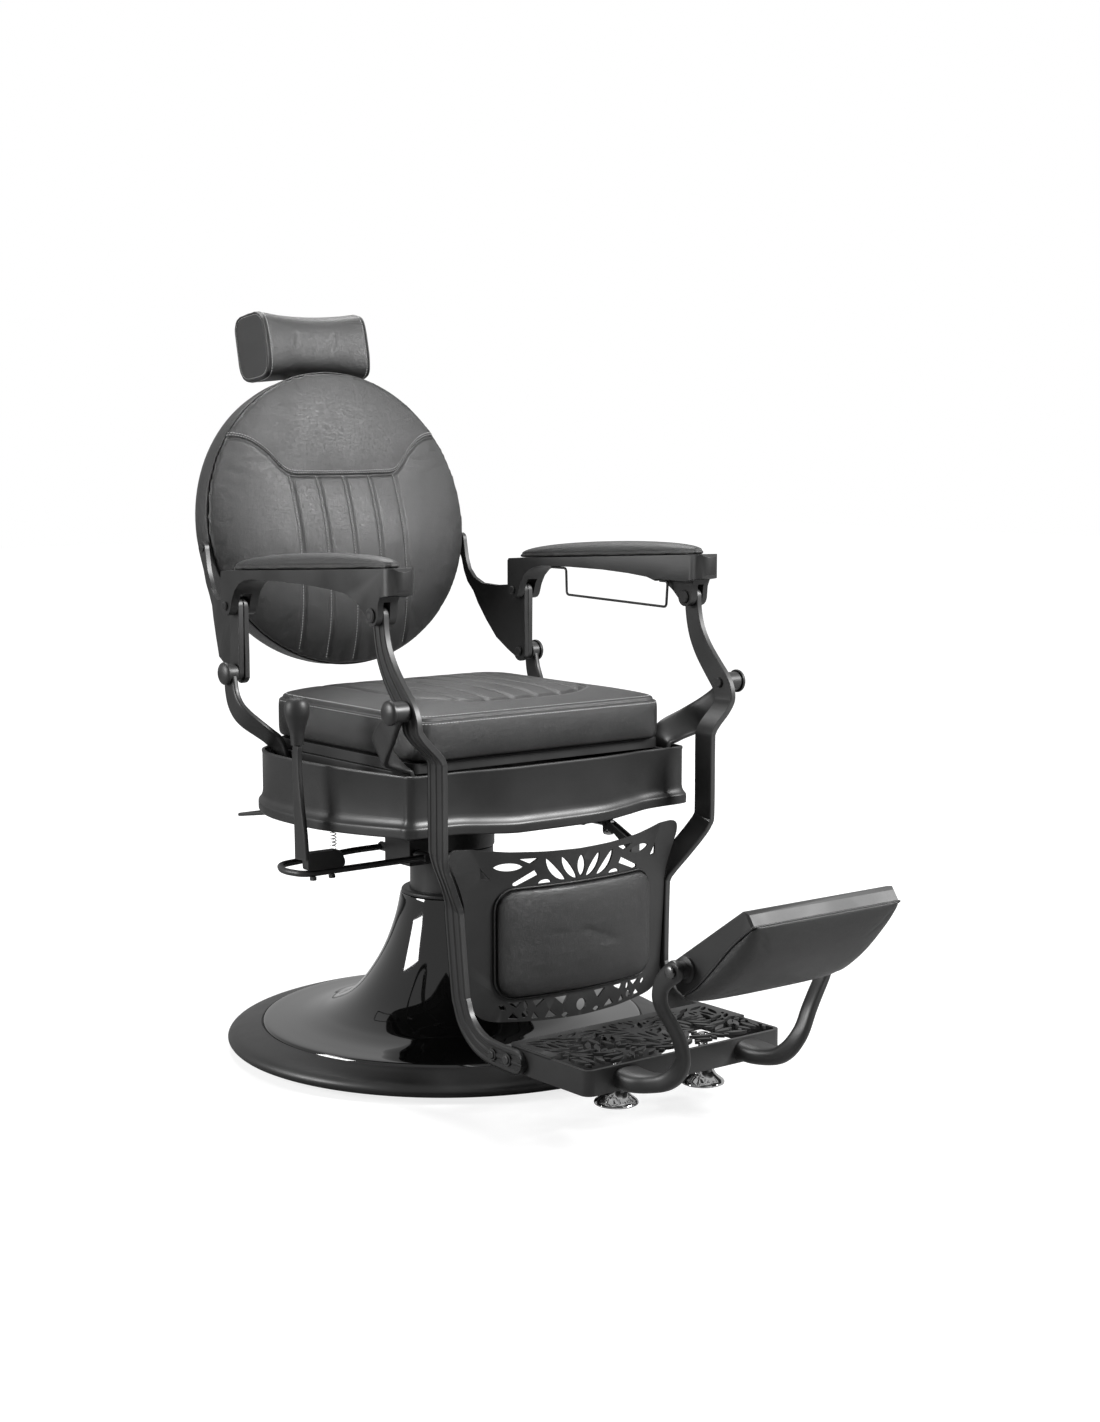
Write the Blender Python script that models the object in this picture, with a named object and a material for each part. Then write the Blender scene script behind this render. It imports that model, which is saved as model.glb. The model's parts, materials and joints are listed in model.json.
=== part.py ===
"""Hydraulic barber chair with a reclining back, a swinging leg rest and a lifting, swivelling seat.

Metres, +Z up. The origin is the middle of the base on the floor, and the chair faces -Y, so the
sitter's left is +X. The side view's points are written as (y, z) pairs.
"""
import math

import bmesh
import bpy
from mathutils import Matrix, Vector

# ---------------------------------------------------------------- driving sizes
GAP = 0.0004              # space kept between neighbouring pieces
SIDES = {"left": 1.0, "right": -1.0}

# base and column
BASE_RADIUS = 0.350
BASE_TOP = 0.0395
BASE_PLATE = 0.009        # thickness over the hollow underside
BASE_BOSS_RADIUS = 0.055  # solid middle under the pump, standing on the floor
COVER_RADIUS = 0.2955
COVER_TOP = 0.240
COLUMN_RADIUS = 0.065
COLUMN_WALL = 0.0075
COLUMN_TOP = 0.313
CYLINDER_RADIUS = 0.055
CYLINDER_TOP = 0.215
CYLINDER_WALL = 0.008
ROD_RADIUS = 0.022
HUB_RADIUS = 0.067
HUB_FLANGE_RADIUS = 0.098

# seat
FRAME_BOTTOM = 0.390
FRAME_TOP = 0.470
FRAME_HALF_WIDTH = 0.232
FRAME_FRONT = -0.235
FRAME_REAR = 0.125
FRAME_PLATE = 0.007
FRAME_WALL = 0.006
SKIRT_HALF_WIDTH = FRAME_HALF_WIDTH + 0.025
SKIRT_FRONT = -0.258
SKIRT_REAR = 0.180
SKIRT_TOP = 0.4735
SKIRT_BOTTOM = 0.386
SKIRT_WALL = 0.004
SKIRT_LIP = 0.007         # how far the flared lip stands out
SKIRT_SIDE_BOW = 0.033    # how far the sides curve out between their corners
SKIRT_FRONT_BOW = 0.013   # how far the middle of the front stands forward
SKIRT_DIP = 0.008         # how far the lip hangs down where the skirt bows
SKIRT_FLANGE = 0.032
BOARD_INSET = 0.030
BOARD_THICK = 0.0155
CUSHION_HALF_WIDTH = FRAME_HALF_WIDTH - 0.001
CUSHION_FRONT = -0.246
CUSHION_REAR = 0.178
CUSHION_SEAM = 0.548
CUSHION_CROWN = 0.575

# the linkage: pivots in the side view
REAR_PIVOT = (0.171, 0.585)
FRONT_PIVOT = (-0.303, 0.573)
ARM_REAR_PIVOT = (0.170, 0.688)
ARM_FRONT_PIVOT = (-0.237, 0.700)
CALF_PIVOT = (-0.700, 0.267)

# the linkage: places across the chair
STRAP_X = FRAME_HALF_WIDTH + 0.056    # middle of the front strap's upper part
STRAP_THICK = 0.010
BEND_X = FRAME_HALF_WIDTH + 0.015     # the strap in front of the skirt's corner
LOWER_X = 0.192           # the strap beside the kick plate
FOOT_X = 0.184            # the strap beside the foot plate
LINK_X = FRAME_HALF_WIDTH + 0.0453
LINK_THICK = 0.010
BACK_BRACKET_X = FRAME_HALF_WIDTH + 0.036
BACK_BRACKET_THICK = 0.008
BOSS_RADIUS = 0.0145
FRONT_BOSS_LENGTH = 0.023
REAR_BOSS_LENGTH = 0.014
CAP_RADIUS = 0.0175
CAP_THICK = 0.0095
PIVOT_PIN_RADIUS = 0.005
PIVOT_HOLE_RADIUS = 0.0057
ARM_PIN_RADIUS = 0.004
ARM_HOLE_RADIUS = 0.0046
OPEN_PIVOT_HOLE_RADIUS = 0.0068      # the armrest's front ear, with room for the linkage's slack
STRAP_END_RADIUS = 0.0145
BRACKET_THICK = 0.010

# back and headrest
BACK_TILT = math.radians(7.6)
BACK_MIDDLE = (0.0, 0.308, 0.803)
BACK_HALF_WIDTH = 0.246
BACK_UP = 0.246
BACK_DOWN = 0.2335
BACK_RIM = 0.004          # where the padded face meets the shell
BACK_SHELL_DEPTH = 0.058
BACK_SHELL_INSET = 0.002
BACK_CROWN = 0.050        # how far the middle of the cushion stands forward
BACK_EDGE = 0.000         # where the side of the cushion begins to turn in
BACK_BOLT = (0.3145, 0.768)
BACK_BOSS_RADIUS = 0.006
BACK_SPACER = 0.0035
HEADREST_HALF_WIDTH = 0.100
HEADREST_DEPTH = 0.104
HEADREST_HEIGHT = 0.1205
HEADREST_MIDDLE = (0.068, 0.2953)     # depth and height in the back's frame
HEADREST_ARCH = 0.007     # how far its underside is hollowed over the top of the back
HEADREST_FLAT = 0.4       # share of its width over which the hollow is full
HEADREST_LEAN = 0.08      # how much further it leans back than the back does
POST_SPACING = 0.060
POST_WIDTH = 0.016
POST_THICK = 0.005
POST_DEPTH = 0.0728
POST_BOTTOM = -0.045
GUIDE_BOTTOM = 0.100
GUIDE_TOP = 0.180
GUIDE_HALF_WIDTH = 0.050
GUIDE_DEPTH = 0.021

# armrests
CASTING_REAR = 0.1845
CASTING_FRONT = -0.286
CASTING_REAR_TOP = 0.7407
CASTING_FRONT_TOP = 0.7662
CASTING_OUTER_REAR_X = LINK_X + 0.0187
CASTING_OUTER_FRONT_X = STRAP_X + 0.0155
CASTING_WIDTH = 0.0465
NOSE_RADIUS = 0.0205      # the front corners seen from above
CLEVIS_INNER_X = STRAP_X - 0.018
CLEVIS_CEILING = 0.0185   # above the pivot
PAD_REAR = 0.170
PAD_FRONT = -0.262
PAD_HALF_WIDTH = 0.0215
PAD_HEIGHT = 0.024
TOWEL_BAR_RADIUS = 0.002
TOWEL_BAR_X = CLEVIS_INNER_X - 0.008

# legs and footrest
KICK_SIDE_Y = -0.2865     # back face of the kick plate at its sides
KICK_BOW = 0.032
KICK_BOW_HALF_WIDTH = 0.180
KICK_THICK = 0.0035
PANEL_HALF_WIDTH = 0.143
PANEL_BOTTOM = 0.147
PANEL_TOP = 0.306
PANEL_DEPTH = 0.018
FOOT_PLATE_HALF_WIDTH = 0.1786
FOOT_PLATE_REAR = -0.385
FOOT_PLATE_FRONT = -0.556
FOOT_PLATE_TOP = 0.110
FOOT_PLATE_BOTTOM = 0.071
FOOT_PLATE_THICK = 0.0045
FOOT_PLATE_RIM = 0.006
FOOT_X_PLACE = 0.080
FOOT_Y_PLACE = -0.498
FOOT_BOTTOM = 0.032
FOOT_RADIUS = 0.031
FOOT_ARM_X = 0.1525
FOOT_ARM_THICK = 0.012
CALF_HALF_WIDTH = 0.132
CALF_CORNER = (-0.660, 0.264)
CALF_SLOPE = math.radians(34.1)

# hand lever and release handle
LEVER_X = -FRAME_HALF_WIDTH - 0.094
LEVER_THICK = 0.008
PUMP_AXIS = (-0.110, 0.318)           # x and z of the pump shaft
PUMP_SHAFT_RADIUS = 0.007
LOOP_RADIUS = 0.0048
LOOP_NEAR_Y = -0.088
LOOP_FAR_Y = 0.026
HANDLE_RADIUS = 0.0028
HANDLE_AXIS = (0.105, 0.374)
HANDLE_REAR = 0.236

# gas spring that locks the recline
SPRING_X = 0.115
SPRING_PIN = (-0.244, 0.366)
SPRING_RADIUS = 0.0105
SPRING_ROD_RADIUS = 0.0045
SPRING_PIN_RADIUS = 0.003
SPRING_EYE_THICK = 0.006
SPRING_SLOT_DROP = 0.0085
SPRING_FRONT = -0.185
SPRING_REAR = 0.035


# ---------------------------------------------------------------- scene and materials
def clear_scene():
    for item in list(bpy.data.objects):
        bpy.data.objects.remove(item, do_unlink=True)


def make_material(name, colour, roughness, metallic):
    material = bpy.data.materials.new(name)
    material.use_nodes = True
    shader = material.node_tree.nodes["Principled BSDF"]
    shader.inputs["Base Color"].default_value = (colour, colour, colour, 1.0)
    shader.inputs["Roughness"].default_value = roughness
    shader.inputs["Metallic"].default_value = metallic
    return material


clear_scene()
SATIN = make_material("satin_black_paint", 0.035, 0.45, 0.2)
GLOSS = make_material("gloss_black_paint", 0.010, 0.10, 0.0)
LEATHER = make_material("black_leather", 0.045, 0.50, 0.0)
CHROME = make_material("chrome", 0.80, 0.10, 1.0)
STEEL = make_material("dark_steel", 0.10, 0.35, 1.0)
RUBBER = make_material("black_rubber", 0.020, 0.80, 0.0)

# each moving body has an empty on its joint's axis
PIVOT_PLACES = {
    "base": (0.0, 0.0, 0.0),
    "column": (0.0, 0.0, BASE_TOP),
    "seat": (0.0, 0.0, COLUMN_TOP),
    "back": (0.0, *REAR_PIVOT),
    "headrest": (0.0, *REAR_PIVOT),
    "armrest_left": (LINK_X, *ARM_REAR_PIVOT),
    "armrest_right": (-LINK_X, *ARM_REAR_PIVOT),
    "legs": (0.0, *FRONT_PIVOT),
    "calf_pad": (0.0, *CALF_PIVOT),
    "lever": (PUMP_AXIS[0], 0.0, PUMP_AXIS[1]),
    "release": (0.0, *HANDLE_AXIS),
    "rod": (SPRING_X, SPRING_PIN[0], SPRING_PIN[1]),
}
PIVOTS = {}
for body_name, place in PIVOT_PLACES.items():
    pivot = bpy.data.objects.new(body_name + "_axis", None)
    pivot.location = place
    bpy.context.scene.collection.objects.link(pivot)
    PIVOTS[body_name] = pivot


def add_object(name, mesh_edit, body, material, smooth_angle=35.0):
    """Turn a bmesh drawn in world coordinates into a closed object under its body's empty."""
    bmesh.ops.remove_doubles(mesh_edit, verts=mesh_edit.verts, dist=0.00001)
    bmesh.ops.recalc_face_normals(mesh_edit, faces=mesh_edit.faces)
    mesh = bpy.data.meshes.new(name)
    mesh_edit.to_mesh(mesh)
    mesh_edit.free()
    mesh.materials.append(material)
    if smooth_angle:
        mesh.shade_smooth()
        mesh.set_sharp_from_angle(angle=math.radians(smooth_angle))
    thing = bpy.data.objects.new(name, mesh)
    bpy.context.scene.collection.objects.link(thing)
    thing.parent = PIVOTS[body]
    thing.location = -PIVOTS[body].location
    return thing


def use_tool(thing, mesh_edit, operation):
    """Cut or join a helper shape with a Boolean; the helper stays hidden."""
    tool = add_object(thing.name + "_tool_%d" % len(thing.modifiers), mesh_edit, "base", SATIN, 0)
    tool.hide_render = True
    tool.display_type = "WIRE"
    modifier = thing.modifiers.new(operation.lower(), "BOOLEAN")
    modifier.operation = operation
    modifier.solver = "EXACT"
    modifier.object = tool


# ---------------------------------------------------------------- shape helpers
def add_rings(mesh_edit, rings, closed_ends=True, loop=False):
    """Skin a list of equally long point rings; ends are capped with one face each."""
    made = [[mesh_edit.verts.new(point) for point in ring] for ring in rings]
    count = len(made[0])
    pairs = list(zip(made, made[1:]))
    if loop:
        pairs.append((made[-1], made[0]))
    for lower, upper in pairs:
        for i in range(count):
            j = (i + 1) % count
            mesh_edit.faces.new((lower[i], lower[j], upper[j], upper[i]))
    if closed_ends and not loop:
        mesh_edit.faces.new(made[0][::-1])
        mesh_edit.faces.new(made[-1])
    return mesh_edit


def rings_mesh(rings, loop=False):
    return add_rings(bmesh.new(), rings, loop=loop)


def turn_profile(mesh_edit, profile, steps, place=(0, 0, 0), axis="Z", hollow=False):
    """Spin (radius, height) points about an axis; a hollow profile is a closed loop."""
    turns = {
        "Z": Matrix.Identity(4),
        "X": Matrix.Rotation(math.radians(90), 4, "Y"),
        "-X": Matrix.Rotation(math.radians(-90), 4, "Y"),
        "Y": Matrix.Rotation(math.radians(-90), 4, "X"),
    }
    frame = Matrix.Translation(place) @ turns[axis]
    rings = []
    for radius, height in profile:
        ring = []
        for i in range(steps):
            angle = 2 * math.pi * i / steps
            point = Vector((radius * math.cos(angle), radius * math.sin(angle), height))
            ring.append(frame @ point)
        rings.append(ring)
    add_rings(mesh_edit, rings, closed_ends=not hollow, loop=hollow)
    return mesh_edit


def add_box(mesh_edit, low, high):
    corners = [(x, y) for x, y in ((low[0], low[1]), (high[0], low[1]), (high[0], high[1]), (low[0], high[1]))]
    rings = [[Vector((x, y, z)) for x, y in corners] for z in (low[2], high[2])]
    return add_rings(mesh_edit, rings)


def arc(centre, radius, start, end, steps):
    """Points on a circle from one angle to another, in degrees."""
    points = []
    for i in range(steps + 1):
        angle = math.radians(start + (end - start) * i / steps)
        points.append((centre[0] + radius * math.cos(angle), centre[1] + radius * math.sin(angle)))
    return points


def circle(centre, radius, steps=16):
    return arc(centre, radius, 0.0, 360.0, steps)[:-1]


def rounded_box(left, right, bottom, top, radii, steps=4):
    """Outline with corner radii in the order bottom right, top right, top left, bottom left."""
    corners = ((right, bottom, -1, 1, -90), (right, top, -1, -1, 0), (left, top, 1, -1, 90), (left, bottom, 1, 1, 180))
    points = []
    for (x, y, to_x, to_y, start), radius in zip(corners, radii):
        points += arc((x + to_x * radius, y + to_y * radius), radius, start, start + 90, steps)
    return points


def leaf(centre, length, width, angle, steps=2):
    """A pointed leaf, turned by an angle in degrees."""
    points = []
    for side in (1, -1):
        for i in range(steps + 1):
            along = side * (2 * i / (steps + 1) - 1)
            across = side * width / 2 * (1 - along * along)
            points.append((along * length / 2, across))
    turn = math.radians(angle)
    return [
        (centre[0] + x * math.cos(turn) - y * math.sin(turn), centre[1] + x * math.sin(turn) + y * math.cos(turn))
        for x, y in points
    ]


def flat_plate(mesh_edit, outline, holes, thickness, to_world):
    """Fill an outline with holes, thicken it, and place each point with to_world(a, b, depth)."""
    loops = [outline] + holes
    edges = []
    for loop in loops:
        verts = [mesh_edit.verts.new((a, b, 0.0)) for a, b in loop]
        for i, vert in enumerate(verts):
            edges.append(mesh_edit.edges.new((vert, verts[(i + 1) % len(verts)])))
    filled = bmesh.ops.triangle_fill(mesh_edit, use_beauty=True, edges=edges, normal=(0, 0, 1))
    faces = [item for item in filled["geom"] if isinstance(item, bmesh.types.BMFace)]
    new_verts = {vert for face in faces for vert in face.verts}
    grown = bmesh.ops.extrude_face_region(mesh_edit, geom=faces)
    top = [item for item in grown["geom"] if isinstance(item, bmesh.types.BMVert)]
    for vert in top:
        vert.co.z = thickness
    for vert in list(new_verts) + top:
        vert.co = to_world(vert.co.x, vert.co.y, vert.co.z)
    return mesh_edit


def side_plate(mesh_edit, side, inner_x, thickness, outline, holes):
    """A plate in the side view between inner_x and inner_x + thickness."""
    return flat_plate(mesh_edit, outline, holes, thickness, lambda y, z, d: Vector((side * (inner_x + d), y, z)))


def smooth_path(stations, parts):
    """Catmull-Rom curve through stations, which may carry widths after x, y and z."""
    def at(i):
        return stations[max(0, min(i, len(stations) - 1))]

    points = []
    for i in range(len(stations) - 1):
        for k in range(parts):
            t = k / parts
            weights = (
                -0.5 * t + t * t - 0.5 * t ** 3,
                1 - 2.5 * t * t + 1.5 * t ** 3,
                0.5 * t + 2 * t * t - 1.5 * t ** 3,
                -0.5 * t * t + 0.5 * t ** 3,
            )
            near = (at(i - 1), at(i), at(i + 1), at(i + 2))
            points.append(tuple(sum(w * p[c] for w, p in zip(weights, near)) for c in range(len(stations[0]))))
    points.append(tuple(stations[-1]))
    return points


def add_strap(mesh_edit, side, stations, section, round_start=0.0, round_end=0.0, parts=1):
    """Sweep a flat section along (x, y, z, width, thickness) stations drawn for the left side.

    The thickness stays as near to X as the path allows. A rounded end adds ever narrower rings.
    """
    path = smooth_path(stations, parts)
    centres = [Vector(p[:3]) for p in path]
    last = len(path) - 1
    rings = []

    def ring(centre, tangent, width, thickness):
        outward = (Vector((1, 0, 0)) - tangent * tangent.x).normalized()
        across = tangent.cross(outward)
        points = [centre + across * (a * width) + outward * (b * thickness) for a, b in section]
        return [Vector((side * p.x, p.y, p.z)) for p in points]

    for i, centre in enumerate(centres):
        tangent = (centres[min(i + 1, last)] - centres[max(i - 1, 0)]).normalized()
        if i == 0 and round_start:
            for angle in (80, 55, 30):
                reach = math.radians(angle)
                rings.append(ring(centre - tangent * round_start * math.sin(reach), tangent,
                                  path[i][3] * math.cos(reach), path[i][4]))
        rings.append(ring(centre, tangent, path[i][3], path[i][4]))
        if i == last and round_end:
            for angle in (30, 55, 80):
                reach = math.radians(angle)
                rings.append(ring(centre + tangent * round_end * math.sin(reach), tangent,
                                  path[i][3] * math.cos(reach), path[i][4]))
    return add_rings(mesh_edit, rings)


def add_wire(mesh_edit, points, radius, steps=8, loop=False):
    """Sweep a round section along points, keeping the section's turn steady."""
    centres = [Vector(p) for p in points]
    count = len(centres)
    guide = Vector((0.0, 0.0, 1.0))
    rings = []
    for i, centre in enumerate(centres):
        if loop:
            tangent = (centres[(i + 1) % count] - centres[i - 1]).normalized()
        else:
            tangent = (centres[min(i + 1, count - 1)] - centres[max(i - 1, 0)]).normalized()
        guide = guide - tangent * guide.dot(tangent)
        if guide.length < 0.05:
            guide = tangent.orthogonal()
        guide.normalize()
        other = tangent.cross(guide)
        ring = []
        for k in range(steps):
            angle = 2 * math.pi * (k + 0.5) / steps
            ring.append(centre + (guide * math.cos(angle) + other * math.sin(angle)) * radius)
        rings.append(ring)
    return add_rings(mesh_edit, rings, loop=loop)


def round_corners(points, radius, steps=3, loop=False):
    """Replace each corner of a 3-D polyline with a short bend."""
    vectors = [Vector(p) for p in points]
    count = len(vectors)
    bent = []
    for i, corner in enumerate(vectors):
        if not loop and i in (0, count - 1):
            bent.append(corner)
            continue
        before = (vectors[i - 1] - corner).normalized() * radius
        after = (vectors[(i + 1) % count] - corner).normalized() * radius
        for k in range(steps + 1):
            t = k / steps
            bent.append(corner + before * (1 - t) ** 2 + after * t ** 2)
    return bent


FLAT_SECTION = ((-0.5, -0.35), (-0.5, 0.35), (-0.42, 0.5), (0.42, 0.5), (0.5, 0.35), (0.5, -0.35), (0.42, -0.5), (-0.42, -0.5))
FLUTED_SECTION = (
    (-0.5, -0.5), (-0.5, 0.5), (-0.32, 0.5), (-0.24, 0.3), (0.24, 0.3), (0.32, 0.5), (0.5, 0.5), (0.5, -0.5),
)
ROUND_SECTION = tuple(
    (0.5 * math.copysign(abs(math.cos(a)) ** 0.7, math.cos(a)), 0.5 * math.copysign(abs(math.sin(a)) ** 0.7, math.sin(a)))
    for a in (2 * math.pi * (k + 0.5) / 10 for k in range(10))
)


# ---------------------------------------------------------------- base and column
def build_base():
    rim = (
        (0.0, 0.0), (BASE_BOSS_RADIUS, 0.0), (BASE_BOSS_RADIUS + 0.004, BASE_TOP - BASE_PLATE),
        (BASE_RADIUS - 0.050, BASE_TOP - BASE_PLATE), (BASE_RADIUS - 0.044, 0.0),
        (BASE_RADIUS - 0.038, 0.0), (BASE_RADIUS - 0.036, 0.005), (BASE_RADIUS - 0.018, 0.0065),
        (BASE_RADIUS - 0.006, 0.0105), (BASE_RADIUS, 0.0175), (BASE_RADIUS - 0.003, 0.0250),
        (BASE_RADIUS - 0.012, 0.0310), (BASE_RADIUS - 0.030, 0.0365),
        (COVER_RADIUS + 0.0045, BASE_TOP + 0.0015), (COVER_RADIUS + 0.001, BASE_TOP), (0.0, BASE_TOP),
    )
    disc = [(max(radius, 0.001), height) for radius, height in rim]
    add_object("base_disc", turn_profile(bmesh.new(), disc, 56), "base", SATIN)

    bottom = BASE_TOP + GAP
    outer = (
        (COVER_RADIUS, bottom), (COVER_RADIUS - 0.003, 0.0440), (0.236, 0.0480), (0.193, 0.0585), (0.167, 0.0725),
        (0.1445, 0.0930), (0.1200, 0.1275), (0.1020, 0.1625), (0.0880, 0.2030), (0.0800, COVER_TOP),
    )
    inner = (
        (0.0740, COVER_TOP), (0.0800, 0.2000), (0.1115, 0.1310), (0.1400, 0.0900), (0.1670, 0.0672), (0.198, 0.0520),
        (COVER_RADIUS - 0.0075, bottom),
    )
    cover = turn_profile(bmesh.new(), outer + inner, 44, hollow=True)
    add_object("base_cover", cover, "base", GLOSS, 40)

    floor = BASE_TOP + GAP
    inside = CYLINDER_RADIUS - CYLINDER_WALL
    flange = CYLINDER_RADIUS + 0.020
    cylinder = (
        (0.001, floor), (flange, floor), (flange, floor + 0.007), (CYLINDER_RADIUS, floor + 0.007),
        (CYLINDER_RADIUS, CYLINDER_TOP), (inside, CYLINDER_TOP), (inside, floor + 0.008), (0.001, floor + 0.008),
    )
    add_object("pump_cylinder", turn_profile(bmesh.new(), cylinder, 24), "base", STEEL)

    guide = COLUMN_RADIUS + GAP
    collar = (
        (guide, COVER_TOP - 0.014), (0.0734, COVER_TOP - 0.014), (0.0734, COVER_TOP + GAP),
        (0.0785, COVER_TOP + GAP), (0.0785, COVER_TOP + 0.005), (0.076, COVER_TOP + 0.007), (guide, COVER_TOP + 0.007),
    )
    add_object("column_collar", turn_profile(bmesh.new(), collar, 32, hollow=True), "base", SATIN)


def build_column():
    inside = COLUMN_RADIUS - COLUMN_WALL
    bottom = 0.062
    roof = COLUMN_TOP - 0.008
    sleeve = (
        (0.001, COLUMN_TOP), (COLUMN_RADIUS, COLUMN_TOP), (COLUMN_RADIUS, bottom), (inside, bottom),
        (inside, roof), (0.001, roof),
    )
    add_object("lift_column", turn_profile(bmesh.new(), sleeve, 32), "column", SATIN)
    rod = ((ROD_RADIUS, bottom), (ROD_RADIUS, roof - GAP))
    add_object("piston_rod", turn_profile(bmesh.new(), rod, 20), "column", CHROME)


# ---------------------------------------------------------------- seat
def seat_outline(half_width, front, rear, front_radius, rear_radius, steps=4):
    return rounded_box(-half_width, half_width, front, rear,
                       (front_radius, rear_radius, rear_radius, front_radius), steps)


def skirt_curve():
    """The skirt's serpentine outline, as (x, y, how much of the full bow) points from its front round to its left."""
    wide, bow, front, rear = SKIRT_HALF_WIDTH, SKIRT_SIDE_BOW, SKIRT_FRONT, SKIRT_REAR
    forward = front - SKIRT_FRONT_BOW
    half = (
        (0.0, forward, 1.0), (wide * 0.30, forward, 0.95), (wide * 0.50, front - SKIRT_FRONT_BOW * 0.55, 0.55),
        (wide * 0.68, front, 0.15), (wide * 0.93, front, 0.0), (wide - 0.003, front + 0.006, 0.0),
        (wide, front + 0.020, 0.05), (wide + bow * 0.30, front + 0.060, 0.3), (wide + bow * 0.62, front + 0.117, 0.65),
        (wide + bow * 0.90, front + 0.185, 0.95), (wide + bow, front + 0.255, 1.0), (wide + bow * 0.95, front + 0.305, 0.95),
        (wide + bow * 0.72, front + 0.345, 0.7), (wide + bow * 0.12, front + 0.385, 0.3), (wide * 0.87, rear - 0.026, 0.1),
        (wide * 0.70, rear - 0.009, 0.0), (wide * 0.40, rear, 0.0),
    )
    return list(half) + [(-x, y, share) for x, y, share in reversed(half) if x]


def skirt_ring(inset, z, dip):
    """The outline moved in by an inset; dip is how far it hangs down at the full bow."""
    curve = skirt_curve()
    ring = []
    for i, (x, y, share) in enumerate(curve):
        before = curve[i - 1]
        after = curve[(i + 1) % len(curve)]
        inward = Vector((before[1] - after[1], after[0] - before[0])).normalized() * inset
        ring.append(Vector((x + inward.x, y + inward.y, z - dip * share)))
    return ring


def skirt_ledge(z):
    """The flange's inner edge, which runs straight under the frame, with as many points as the outline."""
    ring = []
    for x, y, _ in skirt_curve():
        across = min(max(x, -SKIRT_HALF_WIDTH + SKIRT_FLANGE), SKIRT_HALF_WIDTH - SKIRT_FLANGE)
        along = min(max(y, SKIRT_FRONT + SKIRT_FLANGE), SKIRT_REAR - SKIRT_FLANGE)
        ring.append(Vector((across, along, z)))
    return ring


def build_seat():
    bottom = COLUMN_TOP + GAP
    top = FRAME_BOTTOM - GAP
    hub = (
        (HUB_RADIUS, bottom), (HUB_RADIUS, top - 0.016), (HUB_FLANGE_RADIUS, top - 0.009), (HUB_FLANGE_RADIUS, top),
    )
    add_object("seat_hub", turn_profile(bmesh.new(), hub, 32), "seat", SATIN)

    width = FRAME_HALF_WIDTH
    wall = FRAME_HALF_WIDTH - FRAME_WALL
    floor = FRAME_BOTTOM + FRAME_PLATE
    channel = (
        (-width, FRAME_BOTTOM), (width, FRAME_BOTTOM), (width, FRAME_TOP), (wall, FRAME_TOP),
        (wall, floor), (-wall, floor), (-wall, FRAME_TOP), (-width, FRAME_TOP),
    )
    rings = [[Vector((x, y, z)) for x, z in channel] for y in (FRAME_FRONT, FRAME_REAR)]
    add_object("seat_frame", rings_mesh(rings), "seat", SATIN, 0)

    ledge = FRAME_BOTTOM - GAP
    section = (
        (-SKIRT_LIP, SKIRT_BOTTOM, SKIRT_DIP), (-SKIRT_LIP, SKIRT_BOTTOM + 0.014, SKIRT_DIP),
        (-SKIRT_LIP * 0.4, SKIRT_BOTTOM + 0.019, SKIRT_DIP), (0.0, SKIRT_BOTTOM + 0.027, SKIRT_DIP * 0.8),
        (0.0, SKIRT_TOP, 0.0), (SKIRT_WALL, SKIRT_TOP, 0.0), (SKIRT_WALL, ledge, 0.0),
    )
    rings = [skirt_ring(inset, z, dip) for inset, z, dip in section]
    rings += [skirt_ledge(ledge), skirt_ledge(SKIRT_BOTTOM), skirt_ring(SKIRT_WALL, SKIRT_BOTTOM, 0.0)]
    rings.append(skirt_ring(0.0, SKIRT_BOTTOM, SKIRT_DIP))
    add_object("seat_skirt", rings_mesh(rings, loop=True), "seat", SATIN)

    board_bottom = FRAME_TOP + GAP
    board_top = board_bottom + BOARD_THICK
    board = seat_outline(SKIRT_HALF_WIDTH - BOARD_INSET, SKIRT_FRONT + BOARD_INSET, SKIRT_REAR - BOARD_INSET, 0.010, 0.029)
    rings = [[Vector((x, y, z)) for x, y in board] for z in (board_bottom, board_top)]
    add_object("seat_board", rings_mesh(rings), "seat", SATIN, 0)

    soft_bottom = board_top + GAP
    levels = (
        (0.004, soft_bottom), (0.0, soft_bottom + 0.004), (0.0, CUSHION_SEAM - 0.008), (0.003, CUSHION_SEAM),
        (0.016, CUSHION_SEAM + 0.006), (0.045, CUSHION_SEAM + 0.014), (0.085, CUSHION_SEAM + 0.021),
        (0.135, CUSHION_CROWN - 0.001), (0.180, CUSHION_CROWN),
    )
    rings = []
    for inset, z in levels:
        outline = seat_outline(CUSHION_HALF_WIDTH - inset, CUSHION_FRONT + inset, CUSHION_REAR - inset,
                               max(0.030 - inset * 0.2, 0.012), max(0.056 - inset * 0.3, 0.012))
        rings.append([Vector((x, y, z)) for x, y in outline])
    add_object("seat_cushion", rings_mesh(rings), "seat", LEATHER, 50)


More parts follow.
